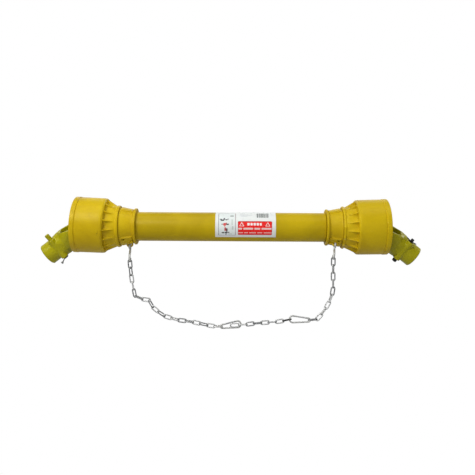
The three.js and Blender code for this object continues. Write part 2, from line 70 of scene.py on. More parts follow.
# ------------------------------------------------------------------ materials
def srgb(code):
    """Linear RGBA of a hex colour."""
    channels = [int(code[i:i + 2], 16) / 255 for i in (0, 2, 4)]
    return [c / 12.92 if c <= 0.04045 else ((c + 0.055) / 1.055) ** 2.4 for c in channels] + [1.0]


def add_node(tree, kind, inputs=None, **properties):
    """Add a node; each input is a socket to link, a hex colour or a plain value."""
    node = tree.nodes.new(kind)
    for key, value in properties.items():
        setattr(node, key, value)
    for key, value in (inputs or {}).items():
        socket = node.inputs[key]
        if isinstance(value, bpy.types.NodeSocket):
            tree.links.new(value, socket)
        else:
            socket.default_value = srgb(value) if isinstance(value, str) else value
    return node


def new_material(name):
    material = bpy.data.materials.new(name)
    material.use_nodes = True
    material.node_tree.nodes.clear()
    return material


class Shader:
    """A Principled material built from textures in object coordinates."""

    def __init__(self, name):
        self.material = new_material(name)
        self.coords = self.node("ShaderNodeTexCoord").outputs["Object"]
        self.geometry = None

    def node(self, kind, inputs=None, **properties):
        return add_node(self.material.node_tree, kind, inputs, **properties)

    def noise(self, scale, detail=3, rough=0.5, stretch=None, distort=0.0):
        vector = self.coords
        if stretch:
            mapping = self.node("ShaderNodeMapping", {"Scale": stretch, "Vector": vector})
            vector = mapping.outputs[0]
        return self.node("ShaderNodeTexNoise", {
            "Scale": scale, "Detail": detail, "Roughness": rough,
            "Distortion": distort, "Vector": vector}).outputs["Fac"]

    def ramp(self, value, start, end, low=0.0, high=1.0):
        """Smooth step from low to high as value goes from start to end."""
        return self.node("ShaderNodeMapRange", {
            "Value": value, "From Min": start, "From Max": end,
            "To Min": low, "To Max": high}, interpolation_type="SMOOTHSTEP").outputs[0]

    def math(self, operation, a, b=0.0):
        return self.node("ShaderNodeMath", {0: a, 1: b}, operation=operation).outputs[0]

    def mix(self, share, base, over):
        return self.node("ShaderNodeMix", {0: share, 6: base, 7: over},
                         data_type="RGBA").outputs[2]

    def layer(self, base, over, mask, **ramp):
        """Lay one colour over another through a ramped mask."""
        return self.mix(self.ramp(mask, **ramp), base, over)

    def bump(self, height, distance, strength, normal=None):
        inputs = {"Distance": distance, "Strength": strength, "Height": height}
        if normal is not None:
            inputs["Normal"] = normal
        return self.node("ShaderNodeBump", inputs).outputs[0]

    def split(self, vector):
        return self.node("ShaderNodeSeparateXYZ", {0: vector}).outputs

    def edge(self):
        """Pointiness: below 0.5 in cavities, above it on edges."""
        if self.geometry is None:
            self.geometry = self.node("ShaderNodeNewGeometry")
        return self.geometry.outputs["Pointiness"]

    def finish(self, inputs):
        surface = self.node("ShaderNodeBsdfPrincipled", inputs)
        self.node("ShaderNodeOutputMaterial", {0: surface.outputs[0]})
        return self.material


def plastic(name, light, dark, streaked=False, tint=None):
    """Plastic mottled between two colours, with grain, scuffs and grime."""
    s = Shader(name)
    mottle = s.noise(scale=9, detail=3, rough=0.55, distort=0.4)
    colour = s.layer(dark, light, mottle, start=0.35, end=0.68)
    grain = s.noise(scale=420, detail=2, rough=0.6)
    colour = s.layer(colour, [0.16, 0.11, 0.004, 1], grain, start=0.3, end=0.75, high=0.10)
    scuffs = s.noise(scale=60, detail=5, rough=0.62, stretch=(0.35, 1.6, 2.4), distort=1.2)
    colour = s.layer(colour, "E6D77A", scuffs, start=0.66, end=0.74, high=0.28)
    grime = s.noise(scale=26, detail=6, rough=0.7)
    colour = s.layer(colour, "6E6112", grime, start=0.62, end=0.8, high=0.22)
    # cavities are darkened and edges made paler, by pointiness
    colour = s.layer(colour, "5F5208", s.edge(), start=0.42, end=0.49, low=0.45, high=0.0)
    colour = s.layer(colour, "F0DE6A", s.edge(), start=0.53, end=0.62, high=0.45)
    roughness = s.math("ADD", s.ramp(mottle, start=0.3, end=0.7, low=0.34, high=0.43),
                       s.ramp(scuffs, start=0.6, end=0.75, high=0.14))
    normal = s.bump(s.noise(scale=55, detail=2), distance=0.0011, strength=0.35)
    normal = s.bump(s.noise(scale=900, detail=2, rough=0.6),
                    distance=0.00010, strength=0.55, normal=normal)
    if streaked:   # drawn out along the extrusion
        streaks = s.noise(scale=260, detail=3, rough=0.6, stretch=(0.02, 1, 1))
        normal = s.bump(streaks, distance=0.00018, strength=0.6, normal=normal)
    inputs = {"Base Color": colour, "Roughness": roughness, "Specular IOR Level": 0.36,
              "Subsurface Weight": 0.06, "Subsurface Radius": (0.004, 0.003, 0.001),
              "Normal": normal}
    if tint:
        inputs["Specular Tint"] = tint
    return s.finish(inputs)


def paint(name):
    """Worn paint on a casting, with bare metal at chips and in the bore."""
    s = Shader(name)
    # "loc" holds each vertex in the part's own frame, in mm
    local = s.split(s.node("ShaderNodeAttribute", attribute_name="loc").outputs["Vector"])
    mottle = s.noise(scale=22, detail=4, rough=0.6)
    colour = s.layer("9A9300", "ABA303", mottle, start=0.3, end=0.7)
    # darker in cavities; painted highlight: paler paint on convex edges
    colour = s.layer(colour, "5A5E06", s.edge(), start=0.40, end=0.48, low=0.55, high=0.0)
    colour = s.layer(colour, "D8D040", s.edge(), start=0.52, end=0.585, high=0.6)
    # painted shade: ambient occlusion darkens hollows such as the inside of the fork
    shade = s.node("ShaderNodeAmbientOcclusion", {"Distance": 0.05}, samples=8).outputs["AO"]
    colour = s.layer(colour, "4E5402", shade, start=0.25, end=0.85, low=0.62, high=0.0)
    # painted light: the faces that look up are made paler, as if lit from above
    up = s.split(s.node("ShaderNodeTexCoord").outputs["Normal"])[2]
    colour = s.layer(colour, "D4CA38", up, start=0.4, end=0.85, high=0.45)
    # chips along worn edges and as loose spots
    wear = s.ramp(s.noise(scale=240, detail=4, rough=0.7),
                  start=0.2, end=0.8, low=-0.045, high=0.045)
    chips = s.ramp(s.math("ADD", s.edge(), wear), start=0.605, end=0.63)
    spots = s.ramp(s.noise(scale=150, detail=3, rough=0.65), start=0.735, end=0.75)
    chips = s.math("MAXIMUM", chips, spots)
    # machined bore of the hub, by distance from the yoke's own axis
    square_y = s.math("MULTIPLY", local[1], local[1])
    square_z = s.math("MULTIPLY", local[2], local[2])
    radius = s.math("SQRT", s.math("ADD", square_y, square_z))
    bore = s.math("MULTIPLY", s.ramp(radius, start=17.55, end=17.75, low=1.0, high=0.0),
                  s.ramp(local[0], start=54, end=56))
    chip_strength = 0.8
    bare = s.math("MAXIMUM", s.math("MULTIPLY", chips, chip_strength), bore)
    colour = s.mix(bare, colour, "4A4A48")
    bare_metallic, bare_roughness = 0.85, 0.15   # what bare metal adds
    gloss = s.ramp(s.noise(scale=70, detail=3, rough=0.6),
                   start=0.3, end=0.7, low=0.24, high=0.36)
    normal = s.bump(s.noise(scale=60, detail=2), distance=0.0007, strength=0.4)
    normal = s.bump(s.noise(scale=420, detail=3, rough=0.6),
                    distance=0.00022, strength=0.6, normal=normal)
    normal = s.bump(bare, distance=0.00012, strength=-0.6, normal=normal)
    return s.finish({
        "Base Color": colour, "Metallic": s.math("MULTIPLY", bare, bare_metallic),
        "Roughness": s.math("ADD", gloss, s.math("MULTIPLY", bare, bare_roughness)),
        "Specular Tint": (0.98, 1.0, 0.42, 1), "Coat Weight": 0.05, "Coat Roughness": 0.18,
        "Normal": normal})


def metal(name, light, dark, rough, bump, brush=None, rust=0.0, metallic=1.0, vary=None):
    """Metal with a roughness range; brush stretches a fine grain."""
    s = Shader(name)
    mottle = s.noise(scale=90, detail=4, rough=0.6)
    colour = s.layer(dark, light, mottle, start=0.3, end=0.7)
    colour = s.layer(colour, "1E1E20", s.edge(), start=0.40, end=0.48, low=0.5, high=0.0)
    if vary:   # each object took the plating a little differently
        chance = s.node("ShaderNodeObjectInfo").outputs["Random"]
        colour = s.layer(colour, vary, chance, start=0.25, end=0.95, high=0.75)
    if rust:
        patches = s.noise(scale=120, detail=5, rough=0.7)
        colour = s.layer(colour, "5A3A1E", patches, start=0.62, end=0.75, high=rust)
    roughness = s.ramp(s.noise(scale=260, detail=3, rough=0.6),
                       start=0.3, end=0.7, low=rough[0], high=rough[1])
    normal = s.bump(s.noise(scale=500, detail=3, rough=0.6), distance=bump, strength=0.6)
    if brush:
        grain = s.noise(scale=900, detail=2, rough=0.6, stretch=brush)
        normal = s.bump(grain, distance=bump * 0.6, strength=0.5, normal=normal)
    return s.finish({"Base Color": colour, "Metallic": metallic, "Roughness": roughness,
                     "Normal": normal})


def printed_vinyl():
    """Label material that shows the face colours stored in "print"."""
    s = Shader("printed_vinyl")
    artwork = s.node("ShaderNodeAttribute", attribute_name="print").outputs["Color"]
    stains = s.noise(scale=40, detail=4, rough=0.6)
    gloss = s.noise(scale=180, detail=3, rough=0.6)
    ripple = s.noise(scale=130, detail=2)
    return s.finish({
        "Base Color": s.layer(artwork, "B9B48E", stains, start=0.55, end=0.8, high=0.10),
        "Roughness": s.ramp(gloss, start=0.3, end=0.7, low=0.26, high=0.36),
        "Normal": s.bump(ripple, distance=0.00012, strength=0.5)})


WARM = (1.0, 0.92, 0.42, 1)   # highlights on the yellow plastic
MATERIALS = {
    "guard_plastic": plastic("guard_plastic_moulded", light="D4B608", dark="C2A202", tint=WARM),
    "tube_plastic": plastic("tube_plastic_extruded", light="CBAE02", dark="B69B02",
                            streaked=True, tint=WARM),
    "yoke_paint": paint("yoke_paint_on_casting"),
    "zinc": metal("zinc_plated", light="A6A8A9", dark="7C7E81", rough=(0.3, 0.48),
                  bump=0.00012, metallic=0.8, vary="E4E5E4"),
    "zinc_bright": metal("zinc_plated_bright", light="D2D3D0", dark="AEB0AE",
                         rough=(0.4, 0.55), bump=0.00012, metallic=0.55),
    "black_oxide": metal("black_oxide_steel", light="3A3A38", dark="1A1A19",
                         rough=(0.32, 0.5), bump=0.00012, metallic=0.7),
    "nylon": plastic("nylon_ring", light="D9D6C6", dark="C7C2AC"),
    "ground_steel": metal("ground_steel", light="A9ABAD", dark="84878A", rough=(0.22, 0.36),
                          bump=0.00005, brush=(1, 1, 12)),
    "raw_steel": metal("raw_forged_steel", light="5C5D5E", dark="3A3B3D", rough=(0.38, 0.6),
                       bump=0.0004, rust=0.25),
    "nipple_brass": metal("nipple_plated", light="C9B469", dark="9C8740", rough=(0.22, 0.34),
                          bump=0.00005),
    "label_vinyl": printed_vinyl(),
}


# ------------------------------------------------------------------ mesh tools
def move(x, y, z):
    return Matrix.Translation((x, y, z))


def spin(degrees, axis):
    return Matrix.Rotation(degrees * DEG, 4, axis)


HERE = Matrix.Identity(4)
HALF_TURN = spin(180, "Z")
ON_XZ = spin(90, "X")      # stands an X-Y outline in X-Z, depth along Y
ON_YZ = Matrix(((0, 0, 1, 0), (1, 0, 0, 0), (0, 1, 0, 0), (0, 0, 0, 1)))   # depth along X
ABOUT_Y = spin(90, "Z")    # turns a part lathed about X to lie along Y
ABOUT_Z = spin(-90, "Y")   # the same, along Z


def mesh_of(vertices, faces, name="m"):
    mesh = bpy.data.meshes.new(name)
    mesh.from_pydata([tuple(v) for v in vertices], [], [tuple(f) for f in faces])
    mesh.validate(clean_customdata=False)
    mesh.update()
    return mesh


def outward(mesh):
    """Merge doubled vertices and point the normals outwards."""
    bm = bmesh.new()
    bm.from_mesh(mesh)
    bmesh.ops.remove_doubles(bm, verts=bm.verts, dist=1e-5)
    bmesh.ops.recalc_face_normals(bm, faces=bm.faces)
    if bm.calc_volume(signed=True) < 0:
        bmesh.ops.reverse_faces(bm, faces=bm.faces)
    bm.to_mesh(mesh)
    bm.free()
    return mesh


def piece(part, suffix, mesh, place, sharp=38, slot=None, replaces=True, rides=None,
          material=None):
    """Place a mesh (mm, own frame) as an object in metres and register it.

    It rides the body of CAD node `rides`, by default `part`; sharp is in degrees.
    """
    coords = np.zeros(len(mesh.vertices) * 3)
    mesh.vertices.foreach_get("co", coords)
    local = mesh.attributes.new("loc", "FLOAT_VECTOR", "POINT")
    local.data.foreach_set("vector", coords.astype(np.float32))
    mesh.transform(Matrix.Scale(0.001, 4) @ place)
    mesh.shade_smooth()
    if sharp:
        mesh.set_sharp_from_angle(angle=sharp * DEG)
    name = f"{part}_{suffix}"
    mesh.name = name
    obj = bpy.data.objects.new(name, mesh)
    bpy.context.scene.collection.objects.link(obj)
    slot = slot or SLOT[part]
    mesh.materials.clear()
    mesh.materials.append(MATERIALS[material or slot])
    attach(obj, BODY[rides or part])
    if replaces:
        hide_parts(part)


def fillet(points, closed=True):
    """Round the corners that carry a radius, each with the same number of points."""
    steps = 4
    count = len(points)
    out = []
    for i, point in enumerate(points):
        radius = point[2] if len(point) > 2 else 0.0
        corner = np.array(point[:2], float)
        if radius <= 0 or (not closed and i in (0, count - 1)):
            out.append(corner)
            continue
        back = np.array(points[i - 1][:2], float) - corner
        ahead = np.array(points[(i + 1) % count][:2], float) - corner
        back_length, ahead_length = np.linalg.norm(back), np.linalg.norm(ahead)
        back, ahead = back / back_length, ahead / ahead_length
        angle = math.acos(max(-1, min(1, float(back @ ahead))))
        reach = min(radius / math.tan(angle / 2), back_length * 0.48, ahead_length * 0.48)
        first, last = corner + back * reach, corner + ahead * reach
        for j in range(steps + 1):
            s = j / steps
            out.append((1 - s) ** 2 * first + 2 * s * (1 - s) * corner + s * s * last)
    return np.array(out)


def subdivide(points, step):
    """Split the long edges of a closed outline into runs no longer than step."""
    out = []
    for a, b in zip(points, np.roll(points, -1, 0)):
        count = max(1, int(math.ceil(np.linalg.norm(b - a) / step)))
        for j in range(count):
            out.append(a + (b - a) * j / count)
    return np.array(out)


def end_to_end(half):
    """Complete an outline that is symmetric in x."""
    return half + [(-x, *rest) for x, *rest in reversed(half)]


def both_sides(half):
    """Complete an outline that is symmetric in its second coordinate."""
    return half + [(x, -y) for x, y in reversed(half)]


def arc(x, y, radius, start, end, steps):
    angles = [(start + (end - start) * i / steps) * DEG for i in range(steps + 1)]
    return [(x + radius * math.cos(a), y + radius * math.sin(a)) for a in angles]


def grid_faces(rows, columns, close_rows=True, close_columns=True):
    faces = []
    for i in range(rows if close_rows else rows - 1):
        for j in range(columns if close_columns else columns - 1):
            i1, j1 = (i + 1) % rows, (j + 1) % columns
            faces.append((i * columns + j, i1 * columns + j,
                          i1 * columns + j1, i * columns + j1))
    return faces


def lathe(profile, segments=96, closed=True, radius_at=None, angles=None):
    """Turn a profile about X; angles run from +Z towards -Y.

    radius_at(profile, angle) may vary the radii. An open profile ends on the axis.
    """
    profile = np.array(profile, float)
    if angles is None:
        angles = np.linspace(0, 2 * math.pi, segments, endpoint=False)
    vertices = np.zeros((len(angles), len(profile), 3))
    for i, a in enumerate(angles):
        r = radius_at(profile, a) if radius_at else profile[:, 1]
        vertices[i, :, 0] = profile[:, 0]
        vertices[i, :, 1] = -r * math.sin(a)
        vertices[i, :, 2] = r * math.cos(a)
    faces = grid_faces(len(angles), len(profile), True, closed)
    return outward(mesh_of(vertices.reshape(-1, 3), faces))


def spindle(outline, segments=96, place=HERE):
    """Solid turned from an open outline that starts and ends on the axis."""
    mesh = lathe(fillet(outline, closed=False), segments, closed=False)
    mesh.transform(place)
    return mesh


def polygon(angle, sides):
    """Radius of a regular polygon at an angle, as a share of its corner radius."""
    half = math.pi / sides
    return math.cos(half) / math.cos((angle % (2 * half)) - half)


def sweep(path, radius, sides=14, closed=False, hint=(0, 1, 0), flatten=1):
    """Round wire along a path, with rounded ends if open.

    hint sets the first axis of the section, which flatten scales; radius may be a list.
    """
    path = np.array(path, float)
    count = len(path)
    if closed:
        tangents = np.roll(path, -1, 0) - np.roll(path, 1, 0)
    else:
        tangents = np.gradient(path, axis=0)
    tangents /= np.linalg.norm(tangents, axis=1)[:, None]
    radii = np.broadcast_to(radius, count)
    hint = np.array(hint, float)
    vertices = []

    def add_ring(i, centre, size):
        u = hint - tangents[i] * (hint @ tangents[i])
        u /= np.linalg.norm(u)
        w = np.cross(tangents[i], u)
        for k in range(sides):
            a = 2 * math.pi * k / sides
            vertices.append(centre + size * (math.cos(a) * u * flatten + math.sin(a) * w))

    for i in range(count):
        add_ring(i, path[i], radii[i])
    faces = grid_faces(count, sides, closed, True)
    for i, sign in () if closed else ((0, -1), (count - 1, 1)):
        ring = i * sides
        for rise in (0.35, 0.7, 0.92):
            lower, ring = ring, len(vertices)
            add_ring(i, path[i] + sign * tangents[i] * (radii[i] * rise * 0.6),
                     radii[i] * math.sqrt(1 - rise * rise))
            for k in range(sides):
                k1 = (k + 1) % sides
                faces.append((lower + k, lower + k1, ring + k1, ring + k))
        vertices.append(path[i] + sign * tangents[i] * radii[i] * 0.62)
        tip = len(vertices) - 1
        for k in range(sides):
            faces.append((ring + k, ring + (k + 1) % sides, tip))
    return outward(mesh_of(vertices, faces))


def smooth_path(points, steps):
    """Catmull-Rom curve through the points."""
    points = np.array(points, float)
    last = len(points) - 1
    out = []
    for i in range(last):
        p1, p2 = points[i], points[i + 1]
        p0 = points[i - 1] if i > 0 else 2 * points[0] - points[1]
        p3 = points[i + 2] if i + 1 < last else 2 * points[-1] - points[-2]
        for j in range(steps):
            t = j / steps
            out.append(0.5 * ((2 * p1) + (-p0 + p2) * t
                              + (2 * p0 - 5 * p1 + 4 * p2 - p3) * t * t
                              + (-p0 + 3 * p1 - 3 * p2 + p3) * t ** 3))
    out.append(points[-1])
    return np.array(out)


def temporary(mesh):
    obj = bpy.data.objects.new("tmp", mesh)
    bpy.context.scene.collection.objects.link(obj)
    return obj


def evaluated(obj):
    """Mesh of a temporary object with its modifiers applied; the object is removed."""
    bpy.context.view_layer.update()
    graph = bpy.context.evaluated_depsgraph_get()
    mesh = bpy.data.meshes.new_from_object(obj.evaluated_get(graph))
    bpy.data.objects.remove(obj)
    return mesh


def boolean(operation, mesh, *tools):
    for tool in tools:
        base, other = temporary(mesh), temporary(tool)
        modifier = base.modifiers.new("boolean", "BOOLEAN")
        modifier.operation = operation
        modifier.object = other
        modifier.solver = "EXACT"
        mesh = evaluated(base)
        bpy.data.objects.remove(other)
    return mesh


def cut(mesh, *tools):
    return boolean("DIFFERENCE", mesh, *tools)


def fuse(mesh, *tools):
    return boolean("UNION", mesh, *tools)


def common(mesh, *tools):
    return boolean("INTERSECT", mesh, *tools)


def remesh(mesh, voxel, smoothing):
    """Blend fused shapes into one skin with softened edges."""
    obj = temporary(mesh)
    modifier = obj.modifiers.new("remesh", "REMESH")
    modifier.mode = "VOXEL"
    modifier.voxel_size = voxel
    modifier.adaptivity = 0.0
    smooth = obj.modifiers.new("smooth", "SMOOTH")
    smooth.factor = 0.5
    smooth.iterations = smoothing
    return evaluated(obj)


def extrude(outline, depth, place=HERE):
    """Extrude an X-Y outline along Z, centred, then place it."""
    n = len(outline)
    vertices = [(x, y, z) for z in (-depth / 2, depth / 2) for x, y in outline]
    faces = [tuple(range(n - 1, -1, -1)), tuple(range(n, 2 * n))]
    faces += [(i, (i + 1) % n, n + (i + 1) % n, n + i) for i in range(n)]
    mesh = mesh_of(vertices, faces)
    mesh.transform(place)
    return outward(mesh)


def bar(radius, length, segments, place):
    angles = [2 * math.pi * i / segments for i in range(segments)]
    outline = [(radius * math.cos(a), radius * math.sin(a)) for a in angles]
    return extrude(outline, length, place)


def box(x0, x1, y0, y1, depth, place=HERE):
    return extrude([(x0, y0), (x1, y0), (x1, y1), (x0, y1)], depth, place)


# ------------------------------------------------------------------ guards
# Each side is modelled with +X outwards; the left one is turned half round.
SIDE = {"left": HALF_TURN, "right": HERE}
CONE_START = 271
# (x, radius, fillet) between the ribs, then the same along a rib where it differs
CONE = [
    (CONE_START, 34.5, 0), (267.5, 34.5, 0.4), (267.5, 49.7, 1.2), (272.4, 50.9, 1.9),
    (274.4, 49.2, 0.8), (277.0, 50.0, 2.4, 277.0, 50.2, 2.4), (290, 51.6, 4, 290, 56.8, 4),
    (300.6, 52.2, 1.0, 300.5, 62.5, 0.8), (300.8, 63.2, 0.6, 301.3, 63.6, 0.5),
    (303.8, 65.9, 1.4), (309, 66.4, 3), (363.2, 66.7, 0.5), (364.2, 65.7, 0.4),
    (365.4, 65.7, 0.4), (366.6, 67.5, 0.6), (377, 67.5, 1.4), (377, 65.6, 0.9),
    (368, 64.6, 3), (309, 63.2, 4), (304, 60.5, 2.5), (304, 46.6, 2),
    (CONE_START, 46.6, 1.5)]
RIBS = 16
# (degrees from the middle of a rib, share of the rib profile)
RIB_FLANK = [(11.25, 0), (10, 0.01), (8.6, 0.03), (7.2, 0.06), (5.8, 0.10), (4.5, 0.15),
             (3.4, 0.21), (2.5, 0.29), (1.9, 0.40), (1.5, 0.62), (1.2, 0.86), (0.95, 0.96),
             (0.5, 1.0)]
# left and right: rise of the cone's mouth above the axis, and tilt of its rings in degrees
CONE_LIFT = {"left": 4.0, "right": 2.5}
CONE_LEAN = {"left": 3.2, "right": 1.4}


def cone_mesh(side):
    """Ribbed bell; the right one has a twelve-sided neck."""
    floor, rib = fillet([row[:3] for row in CONE]), fillet([row[-3:] for row in CONE])
    floor_rows, rib_rows = [], []
    for a0, a1, b0, b1 in zip(floor, np.roll(floor, -1, 0), rib, np.roll(rib, -1, 0)):
        count = max(1, int(max(np.linalg.norm(a1 - a0), np.linalg.norm(b1 - b0)) // 3.2))
        for j in range(count):
            floor_rows.append(a0 + (a1 - a0) * j / count)
            rib_rows.append(b0 + (b1 - b0) * j / count)
    floor, rib = np.array(floor_rows), np.array(rib_rows)

    stations = []   # (degrees, share of the rib profile)
    for i in range(RIBS):
        middle = (i + 0.5) * 360 / RIBS
        stations += [(middle - offset, share) for offset, share in RIB_FLANK]
        stations.append((middle, 1.0))
        stations += [(middle + offset, share) for offset, share in RIB_FLANK[:0:-1]]

    lift = CONE_LIFT[side]
    vertices = np.zeros((len(stations), len(floor), 3))
    neck = (floor[:, 0] < 273.9) & (floor[:, 1] > 49.6)
    for i, (degrees, share) in enumerate(stations):
        rows = floor * (1 - share) + rib * share
        x, r = rows[:, 0], rows[:, 1].copy()
        a = degrees * DEG
        if side == "right":
            r[neck] *= polygon(a, 12) * 1.02
        f = np.clip((x - 275) / 25, 0, 1)
        tilt = math.sin(CONE_LEAN[side] * DEG)
        vertices[i, :, 0] = x - r * math.cos(a) * tilt * f * f * (3 - 2 * f)
        vertices[i, :, 1] = -r * math.sin(a)
        vertices[i, :, 2] = r * math.cos(a) + lift * np.clip((x - CONE_START) / 106, 0, 1)
    faces = grid_faces(len(stations), len(floor))
    mesh = outward(mesh_of(vertices.reshape(-1, 3), faces))
    if side == "left":
        # shallow round marks: x, degrees below the front, radius
        for x, below, radius in ((311.6, 17.6, 1.7), (309.4, 14.4, 1.0), (312.9, 20.6, 0.9)):
            mesh = cut(mesh, bar(radius, 3, 20, move(0, 0, lift * (x - CONE_START) / 106)
                                 @ spin(90 - below, "X") @ move(x, 0, -67.55)))
    return mesh


def collar_mesh(side, bore, end):
    """Collar with raised lands above and below, a hexagonal opening and three buttons."""
    profile = subdivide(fillet([
        (end, bore, 0.6), (end, 44, 1.8), (end + 5.2, 44, 1.7), (end + 6.8, 38.8, 1.4),
        (240, 39.4, 2), (259.5, 43.4, 3), (264.2, 44.2, 1.2), (267, 45.2, 0.7),
        (267, 34.2, 0.4), (263, 34.2, 0.3), (263, bore, 0.2)]), 2.2)
    rise, top_half, low_half, blend = 2.7, 32, 50, 2.4   # lands: mm, then degrees

    def radius_at(rows, a):
        x, r = rows[:, 0], rows[:, 1].copy()
        body = np.clip((x - 235.0) / 1.4, 0, 1) * np.clip((264.6 - x) / 1.4, 0, 1) * (r > 38)
        from_top, from_low = abs((a / DEG + 180) % 360 - 180), abs((a / DEG) % 360 - 180)
        land = max(1 - np.clip((from_top - top_half) / blend, 0, 1),
                   1 - np.clip((from_low - low_half) / blend, 0, 1))
        return r + body * rise * land * land * (3 - 2 * land)

    # finer steps where the lands begin and end
    degrees = np.concatenate([
        np.arange(0, 360, 2.0), np.arange(31.5, 35, 0.4), np.arange(325, 328.6, 0.4),
        np.arange(127.5, 131, 0.4), np.arange(229, 232.6, 0.4)])
    angles = np.unique(np.round(degrees, 3)) * DEG
    mesh = lathe(profile, radius_at=radius_at, angles=angles)
    # turns from the bottom of the collar towards the front
    front, hole_x = (1, 256.8) if side == "left" else (-1, 257.6)
    mesh = cut(mesh, extrude(
        [(-3.2, -2.1), (3.2, -2.1), (4.0, 0), (3.2, 2.1), (-3.2, 2.1), (-4.0, 0)], 17,
        spin(front * 43.5, "X") @ move(hole_x, 0, -46)))
    for x, degrees in ((254.4, 27), (246.2, 23), (238.4, 27)):
        button = spindle([(37, 0), (37, 3.6, 0.2), (45.2, 3.3, 1.3), (46.0, 1.4, 0.8), (46.0, 0)],
                         28, spin(front * degrees, "X") @ move(x, 0, 0) @ spin(90, "Y"))
        mesh = fuse(mesh, button)
    return mesh


def eye_mesh(place):
    """Chain eye under the collar: plate in X-Z, square above and round below."""
    hole_r, half_width, height, depth, centre_z = 3.7, 8.3, 6.3, 7.2, -44.1
    outline, hole = [], []
    count = 56
    for i in range(count):
        a = 2 * math.pi * i / count
        x, z = math.cos(a), math.sin(a)
        if z > 0:
            reach = min(half_width / max(abs(x), 1e-6), height / max(z, 1e-6))
            outline.append((x * reach, z * reach))
        else:
            outline.append((half_width * x, depth * z))
        hole.append((x * hole_r, z * hole_r))
    # loops round the section: points, y, outward offset
    loops = [(outline, -1.2, 0), (outline, -2.1, -0.9), (hole, -2.1, 0.9), (hole, -1.2, 0),
             (hole, 1.2, 0), (hole, 2.1, 0.9), (outline, 2.1, -0.9), (outline, 1.2, 0)]
    vertices, faces = [], []
    for points, y, offset in loops:
        for x, z in points:
            grow = 1 + offset / math.hypot(x, z)
            vertices.append((x * grow, y, centre_z + z * grow))
    for k in range(len(loops)):
        a, b = k * count, (k + 1) % len(loops) * count
        for i in range(count):
            i1 = (i + 1) % count
            faces.append((a + i, a + i1, b + i1, b + i))
    mesh = outward(mesh_of(vertices, faces))
    mesh.transform(place)
    return mesh


def guard_bearing_mesh():
    """Ring between tube and joint, with three tabs on its rim."""
    profile = fillet([
        (281.5, 30.6, 0.4), (281.5, 34.4, 0.4), (283, 35, 0.4), (283, 44, 0.5),
        (287, 44, 0.5), (287, 35, 0.4), (288.5, 34.4, 0.4), (288.5, 30.6, 0.4)])

    def radius_at(rows, a):
        r = rows[:, 1].copy()
        from_tab = abs((a / DEG + 60) % 120 - 60)
        r[r > 38] -= 5.5 * min(1, max(0, (from_tab - 22) / 2))
        return r

    angles = np.linspace(0, 360, 180, endpoint=False) * DEG
    return lathe(profile, radius_at=radius_at, angles=angles)


def guard_tube_mesh(outside, inside, x0, x1):
    profile = fillet([(x0, inside, 0.3), (x0, outside, 0.7), (x1, outside, 0.7),
                      (x1, inside, 0.3)])
    return lathe(subdivide(profile, 30), 128)


# side, guard tube radius, inward end of the collar, degrees the eye is turned about X
for side, tube_r, collar_end, eye_turn in (("left", OUTER_TUBE_R, 227.6, 0),
                                           ("right", INNER_TUBE_R, 229, -28)):
    place = SIDE[side]
    collar = f"lock_collar_{side}"
    piece(f"guard_cone_{side}", "moulding", cone_mesh(side), place, sharp=50)
    piece(collar, "moulding", collar_mesh(side, tube_r + FIT, collar_end), place, sharp=50)
    piece(collar, "chain_eye", eye_mesh(spin(eye_turn, "X") @ move(EYE_X[side], 0, 0)), place,
          slot="guard_plastic", sharp=50, replaces=False)
    piece(f"guard_bearing_{side}", "ring", guard_bearing_mesh(), place)

piece("outer_guard_tube", "extrusion", guard_tube_mesh(OUTER_TUBE_R, 32, -262, 228), HERE)
piece("inner_guard_tube", "extrusion", guard_tube_mesh(INNER_TUBE_R, 28.5, -200, 262), HERE)


# ------------------------------------------------------------------ printed label
LABEL_X = (-37.0, 107.5)
LABEL_DEGREES = (-44.0, 90.0)      # up from the front of the tube
LABEL_CELLS = (420, 250)           # along X, round the tube
LABEL_OUT, LABEL_IN = OUTER_TUBE_R + 0.62, OUTER_TUBE_R + 0.42
PRINT_R = 35.6                     # radius at which the artwork is laid out
ARC = PRINT_R * DEG                # mm of artwork per degree
# blots on the framed panel: x and height from its centre, width, height, colour
BLOTS = (
    (11.5, 19.6, 9, 2.4, "2C302C"), (-15, 9.5, 5, 2.2, "4A4A4A"), (-11, 7, 9, 4.2, "1E1E1E"),
    (-6.5, 10.5, 4, 5.5, "3C3C40"), (-1.5, 8.2, 5, 3.0, "2A2A2C"), (2.5, 10, 3.6, 2.2, "55585A"),
    (-11.5, -3.2, 4, 2, "6A6264"), (-5.5, -3.6, 7.5, 7.0, "D8281C"),
    (-5.5, -8.5, 3.0, 4, "E89A90"), (1.2, -3.4, 6.5, 3.2, "241E20"), (-1.5, -0.5, 3, 2.2, "C0322C"),
    (-4.2, -15.0, 4.2, 8.5, "C2242A"), (-0.6, -17.0, 4.0, 8.0, "3A1E22"),
    (-9.5, -23.6, 7, 3.2, "202020"), (-2.0, -23.4, 6.5, 4.4, "1C1618"),
    (3.6, -22.6, 4.2, 2.6, "303434"), (-2.5, -28, 2.6, 3, "56585A"),
    (12, 2, 3.5, 15, "CCD6D0"), (13.5, -12, 4, 9, "C2CCC6"), (7, -27, 10, 3, "D0D6D2"))


